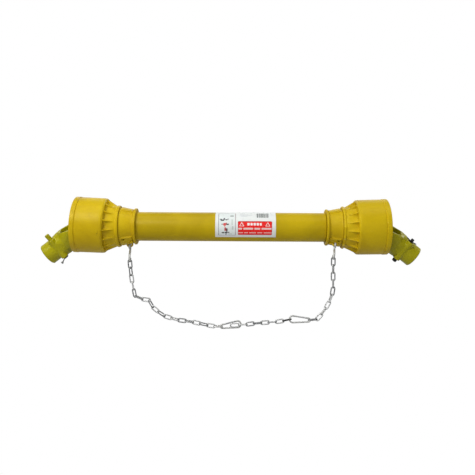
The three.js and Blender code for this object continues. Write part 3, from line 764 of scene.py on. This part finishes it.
def label_colours(x, v):
    """Colour of each label cell; x runs along the tube, v is arc height in mm."""
    colours = np.tile(np.array(srgb("E9EDEB")[:3]), (*x.shape, 1))

    def fill(mask, colour, opacity=1.0):
        colours[mask] = (colours[mask] * (1 - opacity)
                         + np.array(srgb(colour)[:3]) * opacity)

    def block(cx, cv, width, height, corner):
        dx, dv = np.abs(x - cx) - (width / 2 - corner), np.abs(v - cv) - (height / 2 - corner)
        outside = np.hypot(np.maximum(dx, 0), np.maximum(dv, 0))
        return (outside + np.minimum(np.maximum(dx, dv), 0)) < corner

    def triangle(cx, cv, size):
        up = v - (cv - size * 0.45)
        return (up > 0) & (up < size * 0.9) & (np.abs(x - cx) < (size * 0.9 - up) * 0.58)

    # framed panel of plain shapes
    cx, cv, width, height = -8.8, 14.5 * ARC, 41, 99 * ARC
    inner = block(cx, cv, width - 1.5, height - 1.5, 0.8)
    fill(block(cx, cv, width, height, 1.2) & ~inner, "6E6A72")
    fill(block(cx + width / 2 - 1.2, cv, 1.5, height, 0.6), "C48A94")
    fill(inner, "E4ECEA", 0.8)
    for dx, dv, width, height, colour in BLOTS:
        corner = min(width, height) * 0.45
        fill(block(cx + dx, cv + dv, width, height, corner), colour, 0.92)

    # red panel: two triangles, a headline of bars and two lines of bars
    cx, cv = 57.6, -5.5 * ARC
    fill(block(cx, cv, 81.5, 55 * ARC, 3.2), "B00A14")
    fill(block(cx, cv, 79.0, 51 * ARC, 2.4), "F00802")
    for triangle_x in (cx - 31.5, cx + 30.5):
        fill(triangle(triangle_x, cv + 9.8, 11.5), "F6F0EC")
        fill(triangle(triangle_x, cv + 9.1, 7.4), "DC3028")
    left = cx - 19
    for width in (7.2, 6.4, 6.8, 7.0, 6.2):
        fill(block(left + width / 2, cv + 9.6, width - 1.3, 6.2, 1.2), "F8F2F0")
        left += width + 0.6
    # rise from the centre, bar height, opacity, bar widths
    for rise, height, opacity, widths in ((-1.2, 4.2, 0.9, (9, 23, 14, 24)),
                                          (-11.2, 2.3, 0.7, (12, 9, 16, 12, 20))):
        gap = 3
        left = cx - (sum(widths) + gap * (len(widths) - 1)) / 2
        for width in widths:
            bar_mask = block(left + width / 2, cv + rise, width, height, height * 0.35)
            fill(bar_mask, "F4DCD8", opacity)
            left += width + gap

    # block of upright bars
    rng = np.random.default_rng(3)
    left = 62.0
    while left < 89:
        width = float(rng.choice([0.7, 1.1, 1.7, 2.3]))
        fill((x > left) & (x < left + width) & (v > 38 * ARC) & (v < 66 * ARC), "2E3832", 0.95)
        left += width + float(rng.choice([0.6, 0.9, 1.5]))
    # faint lines: degrees up, x from, x to
    for degrees, start, end in ((55, 22, 41), (50, 22, 50), (45, 24, 38), (61, 22, 33)):
        fill((x > start) & (x < end) & (np.abs(v - degrees * ARC) < 0.55), "C3C8CC", 0.9)
    return colours


def label_mesh():
    """Thin curved sheet with the artwork stored per face."""
    nx, na = LABEL_CELLS
    xs = np.linspace(*LABEL_X, nx + 1)
    angles = np.linspace(*LABEL_DEGREES, na + 1) * DEG
    x, a = np.meshgrid(xs, angles, indexing="ij")
    vertices = np.array([np.stack([x, -r * np.cos(a), r * np.sin(a)], axis=-1)
                         for r in (LABEL_OUT, LABEL_IN)]).reshape(-1, 3)
    s = (nx + 1) * (na + 1)   # from a vertex outside to the one under it

    def at(i, j):
        return i * (na + 1) + j

    front = grid_faces(nx + 1, na + 1, False, False)
    faces = front + [(p + s, t + s, r + s, q + s) for p, q, r, t in front]
    for i in range(nx):
        p, q = at(i, 0), at(i + 1, 0)
        faces.append((p, p + s, q + s, q))
        p, q = at(i, na), at(i + 1, na)
        faces.append((p, q, q + s, p + s))
    for j in range(na):
        p, q = at(0, j), at(0, j + 1)
        faces.append((p, q, q + s, p + s))
        p, q = at(nx, j), at(nx, j + 1)
        faces.append((p, p + s, q + s, q))
    mesh = mesh_of(vertices, faces)

    middles_x = (xs[:-1] + xs[1:]) / 2
    middles_v = (angles[:-1] + angles[1:]) / 2 * PRINT_R
    artwork = label_colours(*np.meshgrid(middles_x, middles_v, indexing="ij"))
    colours = np.ones((len(mesh.polygons), 4), np.float32)
    colours[:, :3] = np.array(srgb("E4E6E2")[:3])
    colours[:len(front), :3] = artwork.reshape(-1, 3)
    attribute = mesh.attributes.new("print", "FLOAT_COLOR", "FACE")
    attribute.data.foreach_set("color", colours.ravel())
    bm = bmesh.new()
    bm.from_mesh(mesh)
    bmesh.ops.recalc_face_normals(bm, faces=bm.faces)
    bm.to_mesh(mesh)
    bm.free()
    return mesh


piece("safety_label", "vinyl", label_mesh(), HERE, sharp=60)

# ------------------------------------------------------------------ driveline frames
# Each joint frame has its origin on the joint centre and +X outwards.
ROLL_DEGREES = 15
ROLL = spin(ROLL_DEGREES, "X")   # whole driveline turned about the shaft
FALL = 38 * DEG                  # end yokes below the shaft axis
# the fall splits into a turn of the cross in its inner yoke and of the yoke on its cross
SWAY = math.degrees(math.atan(math.tan(FALL) * math.sin(ROLL_DEGREES * DEG)))
DROOP = math.degrees(math.asin(math.sin(FALL) * math.cos(ROLL_DEGREES * DEG)))
JOINT = {"left": ROLL @ move(-JOINT_X, 0, 0) @ HALF_TURN, "right": ROLL @ move(JOINT_X, 0, 0)}
CROSS = {"left": JOINT["left"] @ spin(SWAY, "Z"), "right": JOINT["right"] @ spin(-SWAY, "Z")}
YOKE = {"left": CROSS["left"] @ spin(DROOP, "Y"),
        "right": CROSS["right"] @ spin(DROOP, "Y") @ spin(180, "X")}


# ------------------------------------------------------------------ yokes
def bearing_bores(place):
    """Both cup bores of a yoke with their ring grooves, as one tool."""
    return spindle(end_to_end([
        (-60, 0), (-60, 14.3), (-41.2, 14.3), (-40.3, 13.55), (-39.2, 13.55), (-39.2, 14.5),
        (-37.5, 14.5), (-37.5, 13.55)]), 72, place)


def spline_outline():
    """Six-toothed bore: (degrees from a groove's middle, radius)."""
    tooth = ((-18, 17.4), (-9, 17.45), (0, 17.45), (9, 17.45), (18, 17.4), (19.5, 17.1),
             (20.5, 15.3), (22, 15), (30, 15), (38, 15), (39.5, 15.3), (40.5, 17.1))
    return [(r * math.cos((60 * k + a) * DEG), r * math.sin((60 * k + a) * DEG))
            for k in range(6) for a, r in tooth]


def end_yoke_mesh():
    """Forked end yoke: ears along +Y and -Y, splined hub along +X."""
    side = arc(0, 0, 21, 90, 270, 40) + both_sides([
        (20, -20.8), (32, -21.8), (44, -24.6), (54, -27.8), (60, -29.0), (67, -29.0),
        (74, -27.2), (82, -26)])
    plan = both_sides([(-22, -41), (26, -41), (40, -38.6), (56, -33), (66, -29), (76, -26.6),
                       (82, -26)])
    gap = both_sides([(-30, -26), (34, -26)] + arc(40, -12.5, 13.5, -80, 0, 8))
    mesh = common(extrude(side, 90, ON_XZ), extrude(plan, 64))
    mesh = cut(mesh, extrude(gap, 70))
    envelope = spindle([(-24, 0), (-24, 39.5, 6), (-14, 43.4, 4), (34, 43.4, 8), (54, 34.2, 8),
                        (61, 30.0, 5), (72, 29.4, 3), (84, 29.4), (84, 0)])
    mesh = common(mesh, envelope)
    # long chamfers on the edges of both ears
    corner = ((25.6, 29.6), (37, 23.6), (62, 23.6), (62, 48), (25.6, 48))
    for sy in (-1, 1):
        for sz in (-1, 1):
            outline = [(sy * y, sz * z) for y, z in corner]
            mesh = cut(mesh, extrude(outline, 110, move(5, 0, 0) @ ON_YZ))
    hub = spindle([(64, 0), (64, 27.2, 1), (80, 26.2, 4), (82, 25.9, 2), (114, 25.9, 1.6),
                   (116, 23), (116, 0)], 128)
    boss = spindle(end_to_end([(-26.6, 0), (-26.6, 9.5, 1.5)]), 64,
                   move(LOCK_X, LOCK_Y, 0) @ ABOUT_Z)
    pads = [bar(17.5, 3.0, 64, move(0, s * 40.0, 0) @ ON_XZ) for s in (-1, 1)]
    mesh = fuse(mesh, hub, boss, *pads)
    mesh = remesh(mesh, voxel=0.75, smoothing=7)
    # machining: hub face, cup bores, spline, its chamfer, lock pin bore and counterbore
    return cut(mesh, box(115, 130, -40, 40, 80), bearing_bores(ABOUT_Y),
               extrude(spline_outline(), 100, move(88, 0, 0) @ ON_YZ),
               spindle([(112.6, 0), (112.6, 17.2), (116, 20.6), (116, 0)]),
               bar(5.8, 80, 48, move(LOCK_X, LOCK_Y, 0)),
               bar(7.7, 19.5, 48, move(LOCK_X, LOCK_Y, 10.2)))


def left_yoke_relief():
    """Turned relief below the left yoke, where it swings close over the rim of its bell."""
    ring = lathe([(31, 43.4), (31, 60), (64, 60), (64, 28.9), (58, 29.0), (49, 32.6)])
    return common(ring, box(20, 70, -65, 65, 66, move(0, 0, -47)))


def lobed(radius):
    """Three-lobed outline of a profile tube."""
    steps = 14
    outline = []
    for k in range(3):
        middle = k * 120 + 90
        for j in range(steps + 1):
            a = middle - 60 + 120 * j / steps
            outline.append(tuple(LOBE_CENTRE_R * turn(middle * DEG) + radius * turn(a * DEG)
                                 for turn in (math.cos, math.sin)))
    return outline


def inner_yoke_mesh(lobe_r):
    """Yoke fixed to a profile tube: ears along +Z and -Z, lobed socket along +X."""
    plan = arc(0, 0, 20, 90, 270, 36) + both_sides([(20, -21.6), (40, -25.6), (52, -29),
                                                    (60, -31)])
    side = both_sides([(-22, -41), (24, -41), (38, -37.5), (50, -33), (60, -31)])
    gap = both_sides([(-30, -26), (30, -26)] + arc(33, -13.5, 12.5, -80, 0, 8))
    mesh = common(extrude(plan, 90), extrude(side, 80, ON_XZ))
    mesh = cut(mesh, extrude(gap, 90, ON_XZ))
    envelope = spindle([(-24, 0), (-24, 40, 5), (-14, 43.3, 4), (26, 43.3, 8), (48, 37.5, 8),
                        (62, 32.8, 3), (62, 0)])
    mesh = common(mesh, envelope)
    neck = spindle([(55, 0), (55, 31, 1), (58, 32.9, 1), (89, 32.9, 1), (89, 0)])
    pads = [bar(17.2, 3.0, 64, move(0, 0, s * 40.0)) for s in (-1, 1)]
    mesh = fuse(mesh, neck, *pads)
    mesh = remesh(mesh, voxel=0.95, smoothing=6)
    # machining: end face, groove round the neck, cup bores, socket and roll pin hole
    return cut(mesh, box(88.9, 100, -40, 40, 80),
               lathe([(65.8, 30.05), (65.8, 36), (74.2, 36), (74.2, 30.05)], 128),
               bearing_bores(ABOUT_Z),
               extrude(lobed(lobe_r), 30, move(82.5, 0, 0) @ ON_YZ),
               bar(ROLL_HOLE_R, 90, 40, move(ROLL_PIN_X, 0, 0) @ ON_XZ))


def profile_tube_mesh(lobe_r, x0, x1, hole_x):
    middle = move((x0 + x1) / 2, 0, 0) @ ON_YZ
    return cut(extrude(lobed(lobe_r), x1 - x0, middle),
               extrude(lobed(lobe_r - PROFILE_WALL), x1 - x0 + 10, middle),
               bar(ROLL_HOLE_R, 80, 32, move(hole_x, 0, 0) @ ON_XZ))


# ------------------------------------------------------------------ joint parts
def cross_mesh():
    arm = end_to_end([(-33.8, 0), (-33.8, 7, 0), (-33, 8.3, 0.4), (-20.5, 8.3, 0.6),
                      (-20, 11.2, 0.8), (-18.6, 12.2, 1)])
    core = end_to_end([(-15.5, 0), (-15.5, 9, 3), (-9, 16, 5)])
    mesh = fuse(spindle(arm, 64, ABOUT_Y), spindle(arm, 64, ABOUT_Z), spindle(core, 64))
    return remesh(mesh, voxel=0.5, smoothing=5)


def cup_mesh():
    """Bearing cup along +Y, open towards the cross."""
    return spindle([
        (20.0, 8.7, 0.3), (20.0, 13.45, 0.6), (36.9, 13.45, 0.8), (37.3, 12.6, 0.4),
        (37.3, 8.5, 0.4), (36.6, 7.5, 0.5), (36.6, 0), (34.3, 0), (34.3, 8.7), (20.0, 8.7)],
        64, ABOUT_Y)


def snap_ring_mesh():
    """Internal snap ring about Y with an ear at each end of its gap."""
    y, radius, outside, half_thick = 38.35, 11.9, 1.5, 0.7
    degrees = range(20, 341, 4)
    vertices, faces = [], []
    for a in degrees:
        from_end = min(abs(a - 20), abs(a - 340))
        inside = 1.35 + 1.5 * max(0, 1 - from_end / 14)
        for dr, dy in ((outside, -half_thick), (outside, half_thick),
                       (-inside, half_thick), (-inside, -half_thick)):
            vertices.append((math.sin(a * DEG) * (radius + dr), y + dy,
                             math.cos(a * DEG) * (radius + dr)))
    n = len(degrees)
    for i in range(n - 1):
        for k in range(4):
            k1 = (k + 1) % 4
            faces.append((4 * i + k, 4 * i + k1, 4 * i + 4 + k1, 4 * i + 4 + k))
    faces += [(0, 1, 2, 3), (4 * n - 1, 4 * n - 2, 4 * n - 3, 4 * n - 4)]
    return outward(mesh_of(vertices, faces))


def nipple_mesh():
    """Grease nipple with a hexagonal collar, set between two arms of the cross."""
    profile = fillet([
        (19.6, 0), (19.6, 2.0, 0.1), (21.2, 2.2, 0.1), (21.4, 3.6, 0.2), (23.2, 3.6, 0.3),
        (23.4, 2.3, 0.2), (24.6, 2.0, 0.3), (25.6, 2.5, 0.5), (26.6, 2.2, 0.5),
        (27.4, 1.2, 0.3), (27.5, 0)], closed=False)

    def radius_at(rows, a):
        x, r = rows[:, 0], rows[:, 1].copy()
        r[(x > 21.3) & (x < 23.3) & (r > 3)] *= polygon(a, 6) * 1.08
        return r

    mesh = lathe(profile, 48, closed=False, radius_at=radius_at)
    mesh.transform(spin(45, "X") @ ABOUT_Y)
    return mesh


def roll_pin_mesh():
    tube = lathe(fillet(end_to_end([(-30.4, 3.3, 0.1), (-30.4, 4.4, 0.4), (-29.6, 5.0, 0.4)])),
                 40)
    mesh = cut(tube, box(-40, 40, 0, 8, 1.2))
    mesh.transform(move(ROLL_PIN_X, 0, 0) @ ABOUT_Y)
    return mesh


LOCK_PIN_ENDS = {"left": (-30, 42.5), "right": (-36, 34.5)}   # z of tail and head
CLIP_Z = -28.9


def lock_pin_mesh(side):
    tail, head = LOCK_PIN_ENDS[side]
    return spindle([
        (tail, 0), (tail, 3.2, 0.2), (tail + 0.7, 3.9, 0.2), (-27.4, 3.9, 0.2),
        (-27.2, 5.4, 0.4), (-9, 5.4, 0.8), (-7, 4.0, 0.8), (7, 4.0, 0.8), (9, 5.4, 0.8),
        (head - 1.4, 5.5, 0.9), (head, 4.4, 0.8), (head, 0)],
        64, move(LOCK_X, LOCK_Y, 0) @ ABOUT_Z)


def round_lock_pin(radius, angle, z):
    return (LOCK_X + radius * math.cos(angle), LOCK_Y + radius * math.sin(angle), z)


def lock_spring_mesh():
    coils, start_z, height = 6, 7.6, 10.8
    full = 2 * math.pi * coils
    path = [round_lock_pin(6.6, t, start_z + height * t / full)
            for t in np.linspace(0, full, 220)]
    return sweep(path, 0.6, 8, hint=(0, 0, 1))


def lock_pin_clip(side):
    """Open ring round the pin's tail, with a headed wire (left) or two flat strips (right)."""
    part, place = f"lock_pin_clip_{side}", YOKE[side]
    ring = [round_lock_pin(5.3, a, CLIP_Z) for a in np.linspace(0.5, 2 * math.pi - 0.5, 40)]
    piece(part, "ring", sweep(ring, 0.85, 10, hint=(0, 0, 1)), place, sharp=0)
    if side == "left":
        slope = 24
        root = np.array([LOCK_X + 5.5, LOCK_Y, -29.1])
        along = np.array([math.cos(slope * DEG), 0, -math.sin(slope * DEG)])
        wire = sweep([root + along * t for t in np.linspace(-0.5, 11.0, 12)], 1.2)
        piece(part, "wire", wire, place, slot="black_oxide", replaces=False, sharp=0)
        head = spindle([(9.6, 0), (9.6, 2.2, 0.4), (10.8, 3.1, 0.6), (13.0, 2.9, 0.8),
                        (13.6, 1.2, 0.5), (13.6, 0)], 40, move(*root) @ spin(slope, "Y"))
        piece(part, "head", head, place, slot="zinc", replaces=False, sharp=40)
        return
    # (x from the pin axis, z)
    strips = {"inner": ((-13.5, -30.2), (-9, -30.0), (-5.2, -29.4), (-4.6, -29.2)),
              "outer": ((4.6, -29.2), (5.4, -29.4), (9, -30.0), (12.8, -30.6))}
    for tag, points in strips.items():
        path = smooth_path([(LOCK_X + x, LOCK_Y, z) for x, z in points], 6)
        piece(part, f"strip_{tag}", sweep(path, 1.1, flatten=2.3), place,
              slot="black_oxide", replaces=False, sharp=0)


def bearing_set(side):
    """Four cups with their snap rings: two in the end yoke, two in the inner yoke."""
    minus_y, plus_y = ("rear", "front") if side == "left" else ("front", "rear")
    places = ((minus_y, CROSS[side] @ spin(180, "X")), (plus_y, CROSS[side]),
              ("upper", JOINT[side] @ spin(90, "X")), ("lower", JOINT[side] @ spin(-90, "X")))
    for tag, place in places:
        cup, ring = f"bearing_cup_{side}_{tag}", f"snap_ring_{side}_{tag}"
        piece(cup, "shell", cup_mesh(), place, sharp=35)
        if tag in ("front", "rear"):
            piece(ring, "clip", snap_ring_mesh(), place, sharp=30)
        else:
            piece(ring, "clip", snap_ring_mesh(), place, rides=cup, slot="black_oxide",
                  replaces=False, sharp=30)


right_yoke = end_yoke_mesh()
end_yokes = {"left": cut(right_yoke.copy(), left_yoke_relief()), "right": right_yoke}
cross_base = cross_mesh()
for side, lobe_r in (("left", OUTER_LOBE_R), ("right", INNER_LOBE_R)):
    inwards = JOINT[side] @ HALF_TURN
    piece(f"end_yoke_{side}", "casting", end_yokes[side], YOKE[side], sharp=32)
    piece(f"cross_{side}", "forging", cross_base.copy(), CROSS[side], sharp=40)
    piece(f"grease_nipple_{side}", "fitting", nipple_mesh(), CROSS[side], sharp=30)
    bearing_set(side)
    piece(f"lock_pin_{side}", "plunger", lock_pin_mesh(side), YOKE[side], sharp=30)
    piece(f"lock_pin_spring_{side}", "coil", lock_spring_mesh(), YOKE[side], sharp=0)
    lock_pin_clip(side)
    piece(f"inner_yoke_{side}", "forging", inner_yoke_mesh(lobe_r + FIT), inwards, sharp=32)
    piece(f"roll_pin_{side}", "spring_pin", roll_pin_mesh(), inwards, sharp=35)

PIN_HOLE_X = JOINT_X - ROLL_PIN_X
piece("outer_profile_tube", "section",
      profile_tube_mesh(OUTER_LOBE_R, -286, 200, -PIN_HOLE_X), ROLL, sharp=35)
piece("inner_profile_tube", "section",
      profile_tube_mesh(INNER_LOBE_R, -220, 286, PIN_HOLE_X), ROLL, sharp=35)

# ------------------------------------------------------------------ chain
PITCH = 21.1        # length of a link along its wire centre line
LINK_HALF = 4.2     # half its width, to the same line
WIRE_R = 1.5
PLAY = 3.3          # how far a link seen flat reaches past each joining point
END_PLAY = 3.8      # the same where the first link meets its S-hook
# straight distances between joining points, for links seen on edge and flat
EDGE, FLAT = PITCH, PITCH - 2 * PLAY
FIRST = PITCH - PLAY - END_PLAY
HOOK_STEP = 41      # joining points either side of a snap hook
# degrees each link is twisted about its length
TWIST = {"chain_left": (2, 34, 6, -4, 30, 12, -10, 26, 8, 30, -6, 22, 4, 14, -8, 28, 2, 12),
         "chain_right": (6, 26, 14, 20, 2, -14, 22, 30, 16, 26),
         "chain_middle": (0, 20, 8, -6, 24, 10, 4, 0)}


def link_mesh():
    """One link in X-Y, long in X, with a weld bead on its +Y side."""
    straight = (PITCH - 2 * LINK_HALF) / 2
    path = arc(straight, 0, LINK_HALF, -90, 90, 12)
    path += [(straight * t, LINK_HALF) for t in (0.6, 0.2, 0.08, -0.08, -0.2, -0.6)]
    path += arc(-straight, 0, LINK_HALF, 90, 270, 12)
    path += [(straight * t, -LINK_HALF) for t in (-0.6, -0.2, 0.2, 0.6)]
    mesh = sweep([(x, y, 0) for x, y in path], WIRE_R, closed=True, hint=(0, 0, 1))
    for vertex in mesh.vertices:
        co = vertex.co
        if co.y > 2 and abs(co.x) < straight * 0.3:
            swell = 1 + 0.16 * max(0, 1 - (abs(co.x) / (straight * 0.22)) ** 2)
            co.y = LINK_HALF + (co.y - LINK_HALF) * swell
            co.z *= swell
    return mesh


def walk(path, steps):
    """Points along an (x, z) path, each a given straight distance from the last."""
    x, z = path[0]
    out = [(x, z)]
    segment, reached = 0, 0.0
    last = len(path) - 2
    for step in steps:
        for k in range(segment, last + 1):
            ax, az = path[k]
            dx, dz = path[k + 1][0] - ax, path[k + 1][1] - az
            a = dx * dx + dz * dz
            b = 2 * ((ax - x) * dx + (az - z) * dz)
            c = (ax - x) ** 2 + (az - z) ** 2 - step * step
            root = b * b - 4 * a * c
            if root < 0:
                continue
            t = (-b + math.sqrt(root)) / (2 * a)
            if t >= (reached if k == segment else 0) - 1e-9 and (t <= 1 or k == last):
                x, z = ax + dx * t, az + dz * t
                segment, reached = k, t
                break
        out.append((x, z))
    return out


def link_frame(a, b, on_edge):
    """Frame with X from a to b; a link in it is seen on edge or flat from above."""
    along = (b - a).normalized()
    side = Vector((0, 1, 0))
    side = (side - along * side.dot(along)).normalized()
    if on_edge:
        axes = (along, side, along.cross(side))
    else:
        axes = (along, side.cross(along), side)
    return Matrix(axes).transposed().to_4x4()


link_base = link_mesh()


def strand(prefix, points, groups, first_on_edge=False):
    """Links between successive points, grouped into the CAD's numbered chain parts."""
    i = 0
    for group, count in enumerate(groups, 1):
        for j in range(count):
            a, b = points[i], points[i + 1]
            on_edge = (i + first_on_edge) % 2 == 1
            along = (b - a).normalized()
            start_play = 0 if on_edge else (END_PLAY if i == 0 else PLAY)
            end_play = 0 if on_edge else PLAY
            centre = ((a - along * start_play) + (b + along * end_play)) / 2
            place = (Matrix.Translation(centre) @ link_frame(a, b, on_edge)
                     @ spin(TWIST[prefix][i], "X"))
            black = prefix == "chain_middle" and i == 0
            piece(f"{prefix}_{group}", f"link_{j + 1}", link_base.copy(), place,
                  slot="black_oxide" if black else "zinc", replaces=j == 0, sharp=0)
            i += 1


# S-hook ends, and the (x, z) lines along which the chains hang
LEFT_HOOK, RIGHT_HOOK = 41, 37      # S-hook lengths
LEFT_TOP = (-EYE_X["left"], -44.2)
LEFT_LOW = (LEFT_TOP[0], LEFT_TOP[1] - LEFT_HOOK)
RIGHT_TOP, RIGHT_LOW = (EYE_X["right"], -38.35), (246.05, -75.11)
RIGHT_Y, MIDDLE_Y = -23.3, -8.6     # y at the right S-hook and at the far end of the middle chain
LEFT_LINE = [
    LEFT_LOW, (-245, -92), (-241, -128), (-232, -172), (-217.8, -176.3), (-190, -180.5),
    (-187.5, -199.8), (-159, -218), (-131, -227), (-95, -231), (-57, -239), (-28.8, -243.8),
    (22, -236)]
RIGHT_LINE = [
    RIGHT_LOW, (246, -110), (246.5, -150), (243, -166), (233.5, -188), (219.4, -209),
    (208, -222), (203, -224), (144, -221.5), (137, -223.5), (120, -227.5), (99.5, -229.5),
    (84, -230.5), (62.4, -232.5), (31, -236.5), (0, -238.5)]

left_steps = [FIRST, EDGE] + [FLAT, EDGE] * 8 + [HOOK_STEP]
left_points = [Vector((x, 0, z)) for x, z in walk(LEFT_LINE, left_steps)]
strand("chain_left", left_points[:19], [3, 2, 2, 2, 2, 2, 2, 3])

right_steps = [FIRST, EDGE] + [FLAT, EDGE] * 4 + [HOOK_STEP]
right_steps += [EDGE, FLAT] * 3 + [EDGE, PITCH - PLAY]
right_points = []
travelled, total = 0.0, sum(right_steps)
for (x, z), step in zip(walk(RIGHT_LINE, right_steps), [0.0] + right_steps):
    travelled += step
    y = RIGHT_Y + (MIDDLE_Y - RIGHT_Y) * travelled / total
    right_points.append(Vector((x, y, z)))
strand("chain_right", right_points[:11], [3, 2, 2, 3])
strand("chain_middle", right_points[11:], [2, 3, 3], first_on_edge=True)


# ------------------------------------------------------------------ hooks
def s_hook_mesh(height):
    """S-hook in Y-Z, hanging from the origin."""
    bend, wire = 5.5, 2.6
    top, low = -bend, -height + bend
    middle = (top + low) / 2

    def curve(degrees, z):
        return [(0, bend * math.cos(a * DEG), z + bend * math.sin(a * DEG)) for a in degrees]

    path = curve(range(215, -1, -18), top)
    path += [(0, bend * 0.55, middle + 3.5), (0, -bend * 0.55, middle - 3.5)]
    path += curve(range(180, 396, 18), low)
    return sweep(smooth_path(path, 3), wire, 16, hint=(1, 0, 0))


piece("s_hook_left", "wire", s_hook_mesh(LEFT_HOOK), move(LEFT_TOP[0], 0, LEFT_TOP[1]),
      sharp=0, material="zinc_bright")
hook_tilt = math.degrees(math.atan2(RIGHT_TOP[0] - RIGHT_LOW[0], RIGHT_TOP[1] - RIGHT_LOW[1]))
piece("s_hook_right", "wire", s_hook_mesh(RIGHT_HOOK),
      move(RIGHT_TOP[0], RIGHT_Y, RIGHT_TOP[1]) @ spin(hook_tilt, "Y"),
      sharp=0, material="zinc_bright")

SNAP_LENGTH = 37.0                # between the centres of its two bends
SMALL_BEND, LARGE_BEND = 4.3, 8.0
SNAP_TAPER = math.asin((LARGE_BEND - SMALL_BEND) / SNAP_LENGTH)


def snap_side(t):
    """Point on the +Z side of a snap hook, t from the small bend to the large one."""
    reach = SMALL_BEND + (LARGE_BEND - SMALL_BEND) * t
    return np.array([SNAP_LENGTH * t - math.sin(SNAP_TAPER) * reach, 0,
                     math.cos(SNAP_TAPER) * reach])


def snap_body_mesh():
    def bend(x, radius, degrees):
        return [(x + radius * math.cos(a * DEG), 0, radius * math.sin(a * DEG))
                for a in degrees]

    path = [snap_side(0.22), snap_side(0.12)]
    path += bend(0, SMALL_BEND, range(90, 271, 15))
    path += [snap_side(t) * (1, 1, -1) for t in (0.2, 0.4, 0.6, 0.8)]
    path += bend(SNAP_LENGTH, LARGE_BEND, range(-90, 91, 15))
    path.append(snap_side(0.9))
    return sweep(smooth_path(path, 3), 2.0, 16)


def snap_gate_mesh():
    """Gate bar, a little thicker at its hinge."""
    a, b = snap_side(0.25), snap_side(0.86)
    path = [a + (b - a) * t for t in np.linspace(0, 1, 12)]
    return sweep(path, [1.95] * 3 + [1.75] * 9)


def snap_rivet_mesh():
    return spindle(end_to_end([(-2.9, 0), (-2.9, 1.2, 0.4), (-2.2, 1.5, 0.2)]), 28,
                   move(*snap_side(0.24)) @ ABOUT_Y)


for side, start, end, turn in (("left", left_points[18], left_points[19], 90),
                               ("right", right_points[10], right_points[11], -90)):
    place = Matrix.Translation(start) @ link_frame(start, end, False) @ spin(turn, "X")
    hook, gate = f"snap_hook_{side}", f"snap_gate_{side}"
    piece(hook, "body", snap_body_mesh(), place, sharp=0, material="zinc_bright")
    piece(gate, "bar", snap_gate_mesh(), place, sharp=0)
    piece(gate, "rivet", snap_rivet_mesh(), place, rides=hook, slot="zinc",
          replaces=False, sharp=40)


# ------------------------------------------------------------------ stage, light, camera
# From here on lengths are in metres.
def stage_material():
    """Pure white to the camera, mid grey to every other ray."""
    material = new_material("stage_white")
    tree = material.node_tree
    white = add_node(tree, "ShaderNodeEmission", {"Color": (1, 1, 1, 1), "Strength": 1.0})
    grey = add_node(tree, "ShaderNodeBsdfDiffuse", {"Color": (0.5, 0.5, 0.5, 1)})
    shadow_share = 0.0   # how much of the grey surface the camera sees
    seen = add_node(tree, "ShaderNodeMixShader",
                    {0: shadow_share, 1: white.outputs[0], 2: grey.outputs[0]})
    rays = add_node(tree, "ShaderNodeLightPath")
    surface = add_node(tree, "ShaderNodeMixShader", {
        0: rays.outputs["Is Camera Ray"], 1: grey.outputs[0], 2: seen.outputs[0]})
    add_node(tree, "ShaderNodeOutputMaterial", {0: surface.outputs[0]})
    return material


def stage():
    half, height = 6, -0.42
    mesh = mesh_of([(-half, -half, 0), (half, -half, 0), (half, half, 0), (-half, half, 0)],
                   [(0, 1, 2, 3)], "floor")
    floor = bpy.data.objects.new("floor", mesh)
    floor.location = (0, 0, height)
    bpy.context.scene.collection.objects.link(floor)
    mesh.materials.append(stage_material())


def studio_world():
    """Dim cool light on the product, white behind it."""
    world = bpy.data.worlds.new("studio")
    bpy.context.scene.world = world
    world.use_nodes = True
    tree = world.node_tree
    tree.nodes.clear()
    rays = add_node(tree, "ShaderNodeLightPath")
    light = add_node(tree, "ShaderNodeBackground",
                     {"Color": (0.97, 0.98, 1.0, 1), "Strength": 0.27})
    backdrop = add_node(tree, "ShaderNodeBackground", {"Color": (1, 1, 1, 1), "Strength": 1.0})
    mix = add_node(tree, "ShaderNodeMixShader", {
        0: rays.outputs["Is Camera Ray"], 1: light.outputs[0], 2: backdrop.outputs[0]})
    add_node(tree, "ShaderNodeOutputWorld", {0: mix.outputs[0]})


def area_light(name, location, width, height, power, target=(0, 0, 0), colour=(1, 1, 1)):
    light = bpy.data.lights.new(name, "AREA")
    light.shape = "RECTANGLE"
    light.size = width
    light.size_y = height
    light.energy = power
    light.color = colour
    obj = bpy.data.objects.new(name, light)
    obj.location = location
    aim = Vector(target) - Vector(location)
    obj.rotation_euler = aim.to_track_quat("-Z", "Y").to_euler()
    bpy.context.scene.collection.objects.link(obj)


def camera():
    """Level view from the front."""
    lens = bpy.data.cameras.new("camera")
    lens.lens = 45.14
    lens.sensor_width = 36
    lens.clip_start = 0.05
    lens.clip_end = 50
    obj = bpy.data.objects.new("camera", lens)
    obj.location = (0.0162, -1.45, -0.0256)
    obj.rotation_euler = (spin(90, "X") @ spin(0.35, "Z")).to_euler()
    bpy.context.scene.collection.objects.link(obj)
    bpy.context.scene.camera = obj


stage()
studio_world()
area_light("key_left", location=(-1.1, -1.5, 1.15), target=(-0.1, 0, 0), width=1.3, height=0.8,
           power=30, colour=(1.0, 0.985, 0.96))
area_light("top_soft", location=(0.0, -0.5, 1.5), width=2.4, height=0.7, power=9)
area_light("fill_front", location=(0.2, -2.4, 0.2), width=2.0, height=1.2, power=4)
area_light("back_top", location=(0, 1.4, 1.0), width=2.0, height=0.8, power=5)
area_light("end_right", location=(2.1, 0.45, 0.4), target=(0.4, 0, 0), width=1.2, height=0.9,
           power=9)
camera()
view = bpy.context.scene.view_settings
view.view_transform = "Standard"
view.look = "None"
